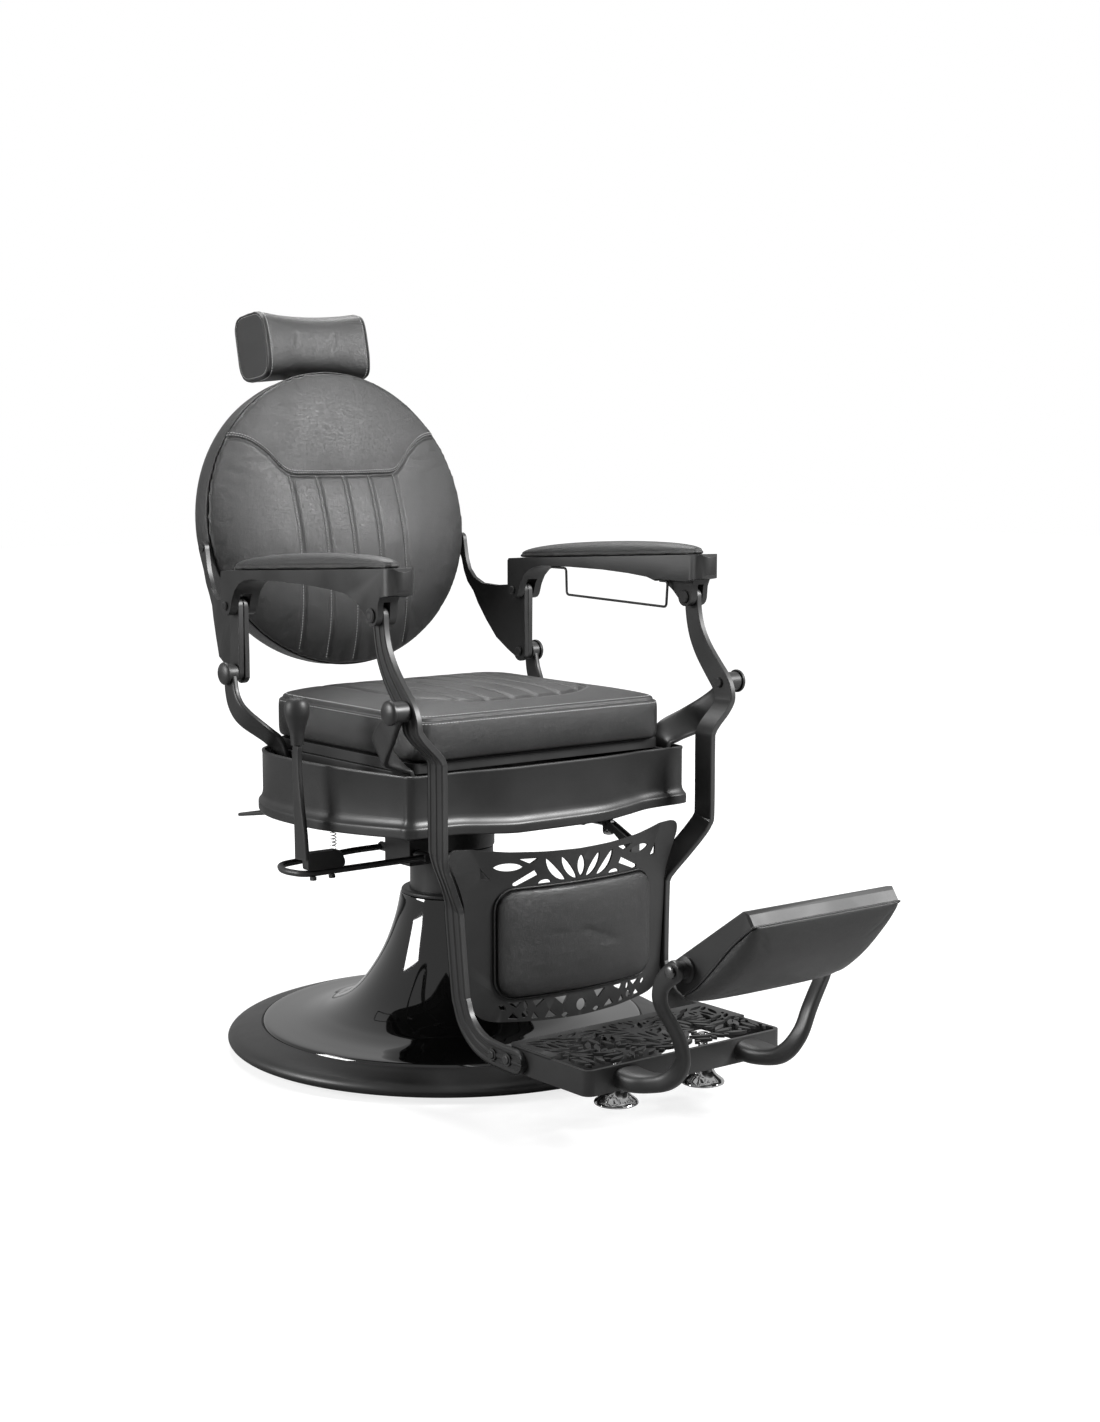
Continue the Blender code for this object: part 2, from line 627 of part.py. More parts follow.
def build_pivot_brackets():
    wall = FRAME_HALF_WIDTH + GAP + BRACKET_THICK / 2
    front_inner = STRAP_X + STRAP_THICK / 2 + GAP
    front_middle = front_inner + FRONT_BOSS_LENGTH / 2
    rear_inner = LINK_X + LINK_THICK / 2 + GAP
    rear_middle = rear_inner + REAR_BOSS_LENGTH / 2
    fy, fz = FRONT_PIVOT
    ry, rz = REAR_PIVOT
    thick = BRACKET_THICK
    front_path = (
        (front_middle, fy, fz, 0.026, thick), (front_middle, fy + 0.016, fz - 0.018, 0.034, thick),
        (front_middle - 0.001, fy + 0.031, fz - 0.035, 0.042, thick),
        (front_middle - 0.0065, fy + 0.050, fz - 0.051, 0.046, thick),
        (front_middle - 0.018, fy + 0.068, fz - 0.065, 0.048, thick),
        (wall + 0.0205, fy + 0.079, fz - 0.078, 0.048, thick), (wall + 0.0070, fy + 0.0850, fz - 0.0885, 0.047, thick),
        (wall + 0.0005, fy + 0.0865, fz - 0.102, 0.048, thick), (wall, fy + 0.087, fz - 0.130, 0.046, thick),
        (wall, fy + 0.086, FRAME_BOTTOM + 0.016, 0.050, thick),
    )
    rear_path = (
        (rear_middle, ry, rz, 0.026, thick), (rear_middle, ry - 0.002, rz - 0.015, 0.029, thick),
        (rear_middle, ry - 0.005, rz - 0.030, 0.031, thick), (rear_middle - 0.0005, ry - 0.011, rz - 0.044, 0.033, thick),
        (rear_middle - 0.003, ry - 0.020, rz - 0.057, 0.034, thick), (rear_middle - 0.009, ry - 0.030, rz - 0.068, 0.034, thick),
        (rear_middle - 0.018, ry - 0.038, rz - 0.0775, 0.034, thick), (rear_middle - 0.028, ry - 0.044, rz - 0.0865, 0.034, thick),
        (wall + 0.0125, ry - 0.050, rz - 0.0970, 0.033, thick), (wall + 0.0030, ry - 0.057, rz - 0.109, 0.032, thick),
        (wall, ry - 0.062, rz - 0.130, 0.034, thick), (wall, ry - 0.064, rz - 0.165, 0.035, thick),
    )
    for word, side in SIDES.items():
        axis = "X" if side > 0 else "-X"
        for kind, path, pivot, inner, length in (
            ("front", front_path, FRONT_PIVOT, front_inner, FRONT_BOSS_LENGTH),
            ("rear", rear_path, REAR_PIVOT, rear_inner, REAR_BOSS_LENGTH),
        ):
            bracket = add_object(kind + "_bracket_" + word, add_strap(bmesh.new(), side, path, FLAT_SECTION),
                                 "seat", SATIN)
            start = (side * inner, *pivot)
            boss = turn_profile(bmesh.new(), ((BOSS_RADIUS, 0.0), (BOSS_RADIUS, length)), 24, start, axis)
            use_tool(bracket, boss, "UNION")
            hole = ((PIVOT_HOLE_RADIUS, -0.005), (PIVOT_HOLE_RADIUS, length + 0.005))
            use_tool(bracket, turn_profile(bmesh.new(), hole, 16, start, axis), "DIFFERENCE")
        add_pivot_bolt("front_pivot_bolt_" + word, axis, FRONT_PIVOT,
                       STRAP_X - STRAP_THICK / 2, front_inner + FRONT_BOSS_LENGTH)
        add_pivot_bolt("rear_pivot_bolt_" + word, axis, REAR_PIVOT,
                       BACK_BRACKET_X - BACK_BRACKET_THICK / 2, rear_inner + REAR_BOSS_LENGTH)


def add_pivot_bolt(name, axis, pivot, inner_face, outer_face):
    """A bolt with a small inner head and a domed outer cap, across everything it holds."""
    head = 0.004
    outer = outer_face + GAP
    inner = inner_face - GAP
    profile = (
        (0.0075, inner - head), (0.0075, inner), (PIVOT_PIN_RADIUS, inner), (PIVOT_PIN_RADIUS, outer),
        (CAP_RADIUS, outer), (CAP_RADIUS, outer + CAP_THICK * 0.45), (CAP_RADIUS * 0.85, outer + CAP_THICK * 0.8),
        (CAP_RADIUS * 0.45, outer + CAP_THICK),
    )
    add_object(name, turn_profile(bmesh.new(), profile, 16, (0.0, *pivot), axis), "seat", SATIN)


# ---------------------------------------------------------------- recline lock
def build_gas_spring():
    """A locking gas spring under the seat; its rod pushes the leg frame out as the back goes down."""
    y, z = SPRING_PIN
    eye_half = SPRING_EYE_THICK / 2
    axis = (SPRING_X, 0.0, z)
    bore = SPRING_ROD_RADIUS + GAP * 1.5
    tube = (
        (SPRING_RADIUS, SPRING_REAR), (SPRING_RADIUS, SPRING_FRONT), (bore, SPRING_FRONT),
        (bore, SPRING_FRONT + 0.014), (SPRING_RADIUS - 0.0025, SPRING_FRONT + 0.016),
        (SPRING_RADIUS - 0.0025, SPRING_REAR - 0.006), (0.0005, SPRING_REAR - 0.006), (0.0005, SPRING_REAR),
    )
    cylinder = add_object("gas_spring_cylinder", turn_profile(bmesh.new(), tube, 20, axis, "Y"), "seat", STEEL)
    for middle in (SPRING_FRONT + 0.045, SPRING_REAR - 0.030):
        saddle = add_box(bmesh.new(), (SPRING_X - 0.008, middle - 0.010, z + SPRING_RADIUS - 0.0015),
                         (SPRING_X + 0.008, middle + 0.010, FRAME_BOTTOM - GAP))
        use_tool(cylinder, saddle, "UNION")

    pin = SPRING_PIN_RADIUS + 0.0012
    rod = ((SPRING_ROD_RADIUS, y + pin + 0.0045), (SPRING_ROD_RADIUS, SPRING_REAR - 0.016))
    rod_thing = add_object("gas_spring_rod", turn_profile(bmesh.new(), rod, 16, axis, "Y"), "rod", CHROME)
    low = z - SPRING_SLOT_DROP - pin
    outline = rounded_box(y - pin - 0.005, y + pin + 0.006, low - 0.004, z + pin + 0.004, (0.005,) * 4, 3)
    slot = rounded_box(y - pin, y + pin, low, z + pin, (pin * 0.95,) * 4, 3)
    eye = flat_plate(bmesh.new(), outline, [slot], SPRING_EYE_THICK, lambda a, b, d: Vector((SPRING_X - eye_half + d, a, b)))
    use_tool(rod_thing, eye, "UNION")


# ---------------------------------------------------------------- hand lever and release handle
def build_lever():
    x, z = PUMP_AXIS
    head = add_object("pump_head", add_box(bmesh.new(), (x - 0.012, -0.062, z - 0.017),
                                           (-HUB_RADIUS - GAP, 0.004, z + 0.022)), "seat", SATIN, 0)
    bore = ((PUMP_SHAFT_RADIUS + GAP * 1.5, -0.08), (PUMP_SHAFT_RADIUS + GAP * 1.5, 0.02))
    use_tool(head, turn_profile(bmesh.new(), bore, 24, (x, 0.0, z), "Y"), "DIFFERENCE")
    shaft = ((PUMP_SHAFT_RADIUS, LOOP_NEAR_Y - 0.007), (PUMP_SHAFT_RADIUS, LOOP_FAR_Y + 0.007))
    loop = add_object("pump_loop", turn_profile(bmesh.new(), shaft, 24, (x, 0.0, z), "Y"), "lever", SATIN)

    start = x - PUMP_SHAFT_RADIUS * 0.3
    outer = LEVER_X - 0.008
    route = (
        (start, LOOP_FAR_Y, z), (-0.165, LOOP_FAR_Y, z), (outer + 0.020, LOOP_FAR_Y - 0.030, z),
        (outer, -0.045, z), (outer + 0.010, LOOP_NEAR_Y, z), (start, LOOP_NEAR_Y, z),
    )
    use_tool(loop, add_wire(bmesh.new(), round_corners(route, 0.016), LOOP_RADIUS, 8), "UNION")

    clamp_bottom = z + LOOP_RADIUS + GAP
    inner = LEVER_X + LEVER_THICK / 2 + GAP
    clamp = add_box(bmesh.new(), (inner, LOOP_NEAR_Y - 0.008, clamp_bottom), (inner + 0.064, LOOP_NEAR_Y + 0.008, clamp_bottom + 0.026))
    add_object("lever_clamp", clamp, "lever", SATIN, 0)

    bar_y = LOOP_NEAR_Y + 0.010
    bar = (
        (-LEVER_X, bar_y, 0.5045, 0.0165, LEVER_THICK), (-LEVER_X, bar_y + 0.0015, 0.474, 0.0175, LEVER_THICK),
        (-LEVER_X, bar_y - 0.002, 0.425, 0.0215, LEVER_THICK), (-LEVER_X, bar_y - 0.007, 0.375, 0.029, LEVER_THICK),
        (-LEVER_X, bar_y - 0.009, 0.340, 0.032, LEVER_THICK),
    )
    add_object("side_lever", add_strap(bmesh.new(), -1.0, bar, FLAT_SECTION, parts=2), "lever", SATIN)
    knob = (
        (0.0095, 0.5055), (0.0105, 0.525), (0.0150, 0.540), (0.0183, 0.553), (0.0175, 0.564), (0.0120, 0.572), (0.0050, 0.575),
    )
    add_object("lever_knob", turn_profile(bmesh.new(), knob, 20, (LEVER_X, bar_y, 0.0)), "lever", RUBBER)

    spring_x = -FRAME_HALF_WIDTH + 0.027
    spring_y = LOOP_FAR_Y - 0.006
    low = z + LOOP_RADIUS + GAP
    spring = ((0.0055, low), (0.0055, FRAME_BOTTOM - GAP))
    add_object("return_spring", turn_profile(bmesh.new(), spring, 16, (spring_x, spring_y, 0.0)), "lever", CHROME)


def build_release(frame):
    y, z = HANDLE_AXIS
    ear_outer = -FRAME_HALF_WIDTH + 0.010
    ear_inner = ear_outer + 0.020
    left, right = ear_outer - 0.018, ear_inner + 0.016
    ear = add_box(bmesh.new(), (ear_outer, y - 0.010, z - 0.010), (ear_inner, y + 0.010, FRAME_BOTTOM + 0.002))
    use_tool(frame, ear, "UNION")
    bore = ((HANDLE_RADIUS + GAP * 1.5, ear_outer - 0.018), (HANDLE_RADIUS + GAP * 1.5, ear_inner + 0.012))
    use_tool(frame, turn_profile(bmesh.new(), bore, 16, (0.0, y, z), "X"), "DIFFERENCE")
    low = z - 0.021
    corners = ((left, y, z), (right, y, z), (right + 0.008, HANDLE_REAR, low), (left - 0.004, HANDLE_REAR, low))
    ring = round_corners(corners, 0.008, loop=True)
    add_object("release_handle", add_wire(bmesh.new(), ring, HANDLE_RADIUS, 6, loop=True), "release", SATIN)


# ---------------------------------------------------------------- back and headrest
def back_frame():
    """World matrix of the back's own frame: x across, y rearward from the rim plane, z up the back."""
    return Matrix.Translation(BACK_MIDDLE) @ Matrix.Rotation(-BACK_TILT, 4, "X")


def back_oval(inset, depth, steps=44):
    frame = back_frame()
    ring = []
    for i in range(steps):
        angle = 2 * math.pi * i / steps
        reach = BACK_UP if math.sin(angle) > 0 else BACK_DOWN
        ring.append(frame @ Vector((
            (BACK_HALF_WIDTH - inset) * math.cos(angle), depth, (reach - inset) * math.sin(angle))))
    return ring


def back_face(inset, depth):
    """A ring of the cushion, which swells forward below its yoke and thins out above it."""
    frame = back_frame()
    ring = []
    for point in back_oval(inset, depth):
        local = frame.inverted() @ point
        share = min(max((local.z + 0.05) / 0.15, 0.0), 1.0)
        thinner = 0.5 * share * share * (3 - 2 * share)
        local.y -= min(local.y - BACK_EDGE, 0.0) * thinner
        ring.append(frame @ local)
    return ring


def shell_side_x(y, z):
    """How far out the side of the back reaches at a point in the side view."""
    local = back_frame().inverted() @ Vector((0.0, y, z))
    reach = BACK_UP if local.z > 0 else BACK_DOWN
    inset = 0.0 if local.y < BACK_RIM else BACK_SHELL_INSET
    high = max(abs(local.z) - BACK_BOSS_RADIUS, 0.0)
    return (BACK_HALF_WIDTH - inset) * math.sqrt(1 - (high / (reach - inset)) ** 2)


def bracket_x(y):
    """The back bracket's middle face: flat at the pivots, bent in to stand off the shell behind."""
    upper = shell_side_x(*BACK_BOLT) + GAP + BACK_SPACER + BACK_BRACKET_THICK / 2
    share = min(max((y - 0.235) / 0.055, 0.0), 1.0)
    return BACK_BRACKET_X + share * (upper - BACK_BRACKET_X)


def build_back():
    levels = (
        (0.002, BACK_RIM), (0.0, BACK_RIM - 0.0025), (0.0, -0.001), (0.0030, -0.0060), (0.009, -0.0118), (0.020, -0.0190),
        (0.040, -0.0270), (0.070, -0.0360), (0.110, -0.0435), (0.155, -BACK_CROWN + 0.0022), (0.200, -BACK_CROWN),
    )
    add_object("back_cushion", rings_mesh([back_face(i, d) for i, d in levels]), "back", LEATHER, 50)
    start = BACK_RIM + GAP
    levels = (
        (BACK_SHELL_INSET, start), (BACK_SHELL_INSET, BACK_SHELL_DEPTH - 0.012),
        (BACK_SHELL_INSET + 0.004, BACK_SHELL_DEPTH - 0.004), (BACK_SHELL_INSET + 0.016, BACK_SHELL_DEPTH),
    )
    add_object("back_shell", rings_mesh([back_oval(i, d, 64) for i, d in levels]), "back", LEATHER)

    ry, rz = REAR_PIVOT
    ay, az = ARM_REAR_PIVOT
    outline = (
        arc(REAR_PIVOT, 0.0165, 205, 330, 6)
        + [(0.205, 0.586), (0.236, 0.604), (0.256, 0.633), (0.272, 0.660), (0.281, 0.680), (0.294, 0.696),
           (0.304, 0.714), (0.3105, 0.734), (0.3190, 0.752)]
        + arc(BACK_BOLT, 0.0105, -30, 190, 7)
        + [(0.3015, 0.752), (0.298, 0.735), (0.291, 0.719), (0.280, 0.7045), (0.264, 0.6950), (0.235, 0.6925), (0.203, 0.6950)]
        + arc(ARM_REAR_PIVOT, 0.0135, 75, 190, 5)
        + [(0.157, 0.650), (0.156, 0.615)]
    )
    holes = [circle(REAR_PIVOT, PIVOT_HOLE_RADIUS), circle(ARM_REAR_PIVOT, ARM_HOLE_RADIUS, 12)]
    tilt = math.atan2(ay - ry, az - rz)
    lean = math.degrees(tilt)
    half = LINK_THICK * 1.3
    link_outline = arc(REAR_PIVOT, half, 180 - lean, 360 - lean, 8) + arc(ARM_REAR_PIVOT, half, -lean, 180 - lean, 8)
    link_holes = [circle(REAR_PIVOT, PIVOT_HOLE_RADIUS), circle(ARM_REAR_PIVOT, ARM_HOLE_RADIUS, 12)]
    half_thick = BACK_BRACKET_THICK / 2
    for word, side in SIDES.items():
        def place(y, z, depth, side=side):
            return Vector((side * (bracket_x(y) - half_thick + depth), y, z))

        plate = flat_plate(bmesh.new(), outline, holes, BACK_BRACKET_THICK, place)
        bracket = add_object("back_bracket_" + word, plate, "back", SATIN)
        link = side_plate(bmesh.new(), side, LINK_X - LINK_THICK / 2, LINK_THICK, link_outline, link_holes)
        add_object("rear_link_" + word, link, "back", SATIN)
        axis = "X" if side > 0 else "-X"
        boss = ((BACK_BOSS_RADIUS, shell_side_x(*BACK_BOLT) + GAP), (BACK_BOSS_RADIUS, bracket_x(BACK_BOLT[0])))
        use_tool(bracket, turn_profile(bmesh.new(), boss, 16, (0.0, *BACK_BOLT), axis), "UNION")


def build_headrest():
    frame = back_frame()
    low = BACK_SHELL_DEPTH + GAP
    guide_mesh = add_box(bmesh.new(), (-GUIDE_HALF_WIDTH, low, GUIDE_BOTTOM), (GUIDE_HALF_WIDTH, low + GUIDE_DEPTH, GUIDE_TOP))
    guide_mesh.transform(frame)
    guide = add_object("headrest_guide", guide_mesh, "back", SATIN, 0)
    half = POST_WIDTH / 2
    room = GAP * 1.5
    for side in SIDES.values():
        middle = side * POST_SPACING / 2
        slot = add_box(bmesh.new(), (middle - half - room, POST_DEPTH - POST_THICK / 2 - room, GUIDE_BOTTOM - 0.01),
                       (middle + half + room, POST_DEPTH + POST_THICK / 2 + room, GUIDE_TOP + 0.01))
        slot.transform(frame)
        use_tool(guide, slot, "DIFFERENCE")
    outer = POST_SPACING / 2 + half
    inner = POST_SPACING / 2 - half
    depth_mid, up_mid = HEADREST_MIDDLE
    top = up_mid - HEADREST_HEIGHT / 2 + HEADREST_ARCH - GAP
    post_outline = [(-outer, POST_BOTTOM), (outer, POST_BOTTOM), (outer, top), (inner, top),
                    (inner, POST_BOTTOM + 0.015), (-inner, POST_BOTTOM + 0.015), (-inner, top), (-outer, top)]
    start = POST_DEPTH - POST_THICK / 2
    post = flat_plate(bmesh.new(), post_outline, [], POST_THICK, lambda x, u, d: frame @ Vector((x, start + d, u)))
    add_object("headrest_post", post, "headrest", STEEL, 0)

    knob = turn_profile(bmesh.new(), ((0.006, 0.0), (0.006, 0.005), (0.014, 0.007), (0.014, 0.020), (0.011, 0.023)), 16,
                        (0.0, low + GUIDE_DEPTH + GAP, (GUIDE_BOTTOM + GUIDE_TOP) / 2), "Y")
    knob.transform(frame)
    add_object("headrest_clamp_knob", knob, "back", RUBBER)

    rings = []
    for share in (-1.0, -0.93, -0.78, -0.58, -HEADREST_FLAT, -0.15, 0.15, HEADREST_FLAT, 0.58, 0.78, 0.93, 1.0):
        ends = 1.0 if abs(share) < 0.8 else (0.95 if abs(share) < 0.95 else 0.80)
        dip = 0.009 * (1 - share * share)
        arch = HEADREST_ARCH * min((1 - abs(share)) / (1 - HEADREST_FLAT), 1.0)
        ring = []
        for k in range(20):
            angle = 2 * math.pi * k / 20
            c, s = math.cos(angle), math.sin(angle)
            across = math.copysign(abs(c) ** 0.45, c) * HEADREST_DEPTH / 2 * ends
            up = math.copysign(abs(s) ** 0.45, s) * HEADREST_HEIGHT / 2 * ends
            if across < 0:
                across += dip * (-across) / (HEADREST_DEPTH / 2)
            if up > 0:
                up -= dip * up / (HEADREST_HEIGHT / 2)
            else:
                front = min(max(-across / (HEADREST_DEPTH / 2), 0.0), 1.0)
                up += arch * (1 + front) * -up / (HEADREST_HEIGHT / 2)
            leaning = depth_mid + across + up * HEADREST_LEAN
            ring.append(frame @ Vector((share * HEADREST_HALF_WIDTH, leaning, up_mid + up)))
        rings.append(ring)
    add_object("headrest_cushion", rings_mesh(rings), "headrest", LEATHER, 50)


# ---------------------------------------------------------------- armrests
def casting_top(y):
    share = (CASTING_REAR - y) / (CASTING_REAR - CASTING_FRONT)
    return CASTING_REAR_TOP + share * (CASTING_FRONT_TOP - CASTING_REAR_TOP)


def casting_outer(y):
    share = (CASTING_REAR - y) / (CASTING_REAR - CASTING_FRONT)
    return CASTING_OUTER_REAR_X + share * (CASTING_OUTER_FRONT_X - CASTING_OUTER_REAR_X)


def add_arm_bolt(name, body, axis, pivot, inner_face, head_radius):
    """A bolt across both cheeks of an armrest ear, with a low head at each end."""
    outer = casting_outer(pivot[0]) + 0.0008
    inner = inner_face - 0.0008
    bolt = (
        (head_radius, inner - 0.003), (head_radius, inner), (ARM_PIN_RADIUS, inner), (ARM_PIN_RADIUS, outer),
        (head_radius, outer), (head_radius, outer + 0.0025), (head_radius * 0.7, outer + 0.0035),
    )
    add_object(name, turn_profile(bmesh.new(), bolt, 16, (0.0, *pivot), axis), body, SATIN)


def casting_plan(side):
    """A prism over the whole casting whose front is the rounded nose."""
    outer, inner = CASTING_OUTER_FRONT_X, CASTING_OUTER_FRONT_X - CASTING_WIDTH
    middle_y = CASTING_FRONT + NOSE_RADIUS
    plan = arc((inner + NOSE_RADIUS, middle_y), NOSE_RADIUS, 180, 270, 5)
    plan += arc((outer - NOSE_RADIUS, middle_y), NOSE_RADIUS, 270, 360, 5)
    plan += [(outer, CASTING_REAR + 0.02), (inner - 0.03, CASTING_REAR + 0.02), (inner - 0.03, middle_y + 0.05)]
    rings = [[Vector((side * x, y, z)) for x, y in plan] for z in (0.6, CASTING_FRONT_TOP + 0.02)]
    return rings_mesh(rings)


def build_armrests():
    ry, rz = ARM_REAR_PIVOT
    fy, fz = ARM_FRONT_PIVOT
    profile = (
        [(CASTING_REAR - 0.003, CASTING_REAR_TOP), (CASTING_REAR, CASTING_REAR_TOP - 0.004)]
        + arc(ARM_REAR_PIVOT, 0.0145, 0, -170, 7)
        + [(ry - 0.0185, rz + 0.010), (ry - 0.027, rz + 0.024), (ry - 0.040, rz + 0.035), (ry - 0.056, rz + 0.041),
           (0.094, 0.7325), (0.020, 0.7335), (-0.060, 0.7330), (-0.120, 0.7305), (-0.165, 0.7270),
           (fy + 0.046, fz + 0.020), (fy + 0.028, fz + 0.009)]
        + arc(ARM_FRONT_PIVOT, 0.0150, 350, 190, 7)
        + [(fy - 0.0165, fz + 0.016), (fy - 0.021, fz + 0.026), (CASTING_FRONT + 0.004, fz + 0.030),
           (CASTING_FRONT, fz + 0.036), (CASTING_FRONT, CASTING_FRONT_TOP - 0.005),
           (CASTING_FRONT + 0.005, CASTING_FRONT_TOP)]
    )
    holes = [circle(ARM_REAR_PIVOT, ARM_HOLE_RADIUS, 12), circle(ARM_FRONT_PIVOT, OPEN_PIVOT_HOLE_RADIUS, 16)]
    strap_inner = STRAP_X - STRAP_THICK / 2 - GAP * 1.5
    strap_outer = STRAP_X + STRAP_THICK / 2 + GAP * 1.5
    bracket_inner = BACK_BRACKET_X - BACK_BRACKET_THICK / 2 - GAP * 1.5
    link_outer = LINK_X + LINK_THICK / 2 + GAP * 1.5
    for word, side in SIDES.items():
        body = "armrest_" + word

        def place(y, z, depth, side=side):
            return Vector((side * (casting_outer(y) - CASTING_WIDTH + depth), y, z))

        casting = add_object(body, flat_plate(bmesh.new(), profile, holes, CASTING_WIDTH, place), body, SATIN)
        use_tool(casting, casting_plan(side), "INTERSECT")
        slots = (
            (strap_inner, strap_outer, CASTING_FRONT - 0.02, fy + 0.060, fz + CLEVIS_CEILING),
            (CLEVIS_INNER_X - 0.04, CLEVIS_INNER_X, CASTING_FRONT - 0.02, fy + 0.052, fz + 0.0245),
            (bracket_inner, link_outer, ry - 0.075, CASTING_REAR + 0.02, rz + CLEVIS_CEILING),
        )
        for low_x, high_x, low_y, high_y, ceiling in slots:
            tool = add_box(bmesh.new(), (min(side * low_x, side * high_x), low_y, 0.6),
                           (max(side * low_x, side * high_x), high_y, ceiling))
            use_tool(casting, tool, "DIFFERENCE")

        rings = []
        for k in range(13):
            share = k / 12
            y = PAD_REAR + (PAD_FRONT - PAD_REAR) * (0.5 - 0.5 * math.cos(math.pi * share))
            swell = max(math.sin(math.pi * share), 0.0) ** 0.45
            half = max(PAD_HALF_WIDTH * swell, 0.004)
            height = 0.0035 + (PAD_HEIGHT - 0.0035) * math.sin(math.pi * share) ** 0.8
            middle = casting_outer(y) - CASTING_WIDTH / 2
            floor = casting_top(y) + GAP
            ring = [Vector((side * (middle + half), y, floor)), Vector((side * (middle - half), y, floor))]
            for angle in (170, 145, 115, 90, 65, 35, 10):
                turn = math.radians(angle)
                ring.append(Vector((side * (middle + half * math.cos(turn)), y, floor + 0.002 + height * math.sin(turn) ** 0.8)))
            rings.append(ring)
        add_object("arm_pad_" + word, rings_mesh(rings), body, LEATHER, 50)

        axis = "X" if side > 0 else "-X"
        add_arm_bolt("armrest_rear_bolt_" + word, "back", axis, ARM_REAR_PIVOT, casting_outer(ry) - CASTING_WIDTH, 0.0068)
        add_arm_bolt("armrest_front_bolt_" + word, "legs", axis, ARM_FRONT_PIVOT, CLEVIS_INNER_X, 0.0100)

    rear_run = 0.7325 - GAP - TOWEL_BAR_RADIUS
    front_run = fz + 0.0245 - GAP - TOWEL_BAR_RADIUS
    route = ((TOWEL_BAR_X, 0.080, rear_run), (TOWEL_BAR_X, 0.043, rear_run), (TOWEL_BAR_X, 0.041, 0.6875),
             (TOWEL_BAR_X, -0.204, 0.6825), (TOWEL_BAR_X, -0.207, front_run), (TOWEL_BAR_X, -0.189, front_run))
    bar = add_wire(bmesh.new(), round_corners(route, 0.005), TOWEL_BAR_RADIUS, 6)
    add_object("towel_bar", bar, "armrest_left", SATIN)


# ---------------------------------------------------------------- legs, kick plate and foot plate
def kick_back_y(x):
    share = min(abs(x) / KICK_BOW_HALF_WIDTH, 1.0)
    return KICK_SIDE_Y - KICK_BOW * (1 - share * share)


def kick_point(x, z, depth):
    """A point on the bowed kick plate, depth measured forward from its back face."""
    return Vector((x, kick_back_y(x) - depth, z))


def mirrored(half):
    """Close an outline given for +X only, drawn from the lower middle round to the upper middle."""
    return list(half) + [(-x, z) for x, z in reversed(half) if x > 0.0001]


def build_straps():
    fy, fz = FRONT_PIVOT
    ay, az = ARM_FRONT_PIVOT
    t = STRAP_THICK
    stations = (
        (STRAP_X, ay, az, 2 * STRAP_END_RADIUS, t), (STRAP_X, ay - 0.0015, az - 0.020, 0.029, t),
        (STRAP_X, ay - 0.0055, az - 0.040, 0.030, t), (STRAP_X, ay - 0.013, az - 0.060, 0.032, t),
        (STRAP_X, ay - 0.0265, az - 0.082, 0.034, t), (STRAP_X, ay - 0.047, az - 0.106, 0.036, t),
        (STRAP_X, fy, fz, 0.038, t), (STRAP_X, fy - 0.0078, fz - 0.015, 0.038, t),
        (STRAP_X - 0.002, fy - 0.009, fz - 0.029, 0.037, t), (STRAP_X - 0.013, fy - 0.0095, fz - 0.043, 0.037, t),
        (BEND_X + 0.012, fy - 0.0095, fz - 0.058, 0.037, t), (BEND_X + 0.002, fy - 0.0095, fz - 0.071, 0.037, t),
        (BEND_X, fy - 0.0095, fz - 0.088, 0.037, t), (BEND_X, fy - 0.0095, 0.385, 0.037, t),
        (BEND_X - 0.002, fy - 0.008, 0.368, 0.037, t), (BEND_X - 0.011, fy - 0.001, 0.350, 0.037, t),
        (LOWER_X + 0.027, fy + 0.010, 0.325, 0.037, t), (LOWER_X + 0.010, fy + 0.022, 0.300, 0.037, t),
        (LOWER_X + 0.002, fy + 0.0275, 0.284, 0.037, t), (LOWER_X, fy + 0.0285, 0.265, 0.037, t),
        (LOWER_X - 0.0055, fy + 0.024, 0.165, 0.036, t), (LOWER_X - 0.0065, fy + 0.020, 0.145, 0.036, t),
        (LOWER_X - 0.007, fy + 0.010, 0.122, 0.036, t), (LOWER_X - 0.0075, fy - 0.010, 0.103, 0.036, t),
        (FOOT_X, fy - 0.037, 0.092, 0.035, t), (FOOT_X, fy - 0.072, 0.0885, 0.035, t), (FOOT_X, fy - 0.104, 0.0875, 0.035, t),
    )
    for word, side in SIDES.items():
        strap = add_object("front_strap_" + word, add_strap(
            bmesh.new(), side, stations, FLUTED_SECTION, STRAP_END_RADIUS, 0.0175), "legs", SATIN, 30)
        for pivot, radius in ((ARM_FRONT_PIVOT, ARM_HOLE_RADIUS), (FRONT_PIVOT, PIVOT_HOLE_RADIUS)):
            hole = ((radius, STRAP_X - 0.01), (radius, STRAP_X + 0.01))
            use_tool(strap, turn_profile(bmesh.new(), hole, 16, (0.0, *pivot), "X" if side > 0 else "-X"), "DIFFERENCE")


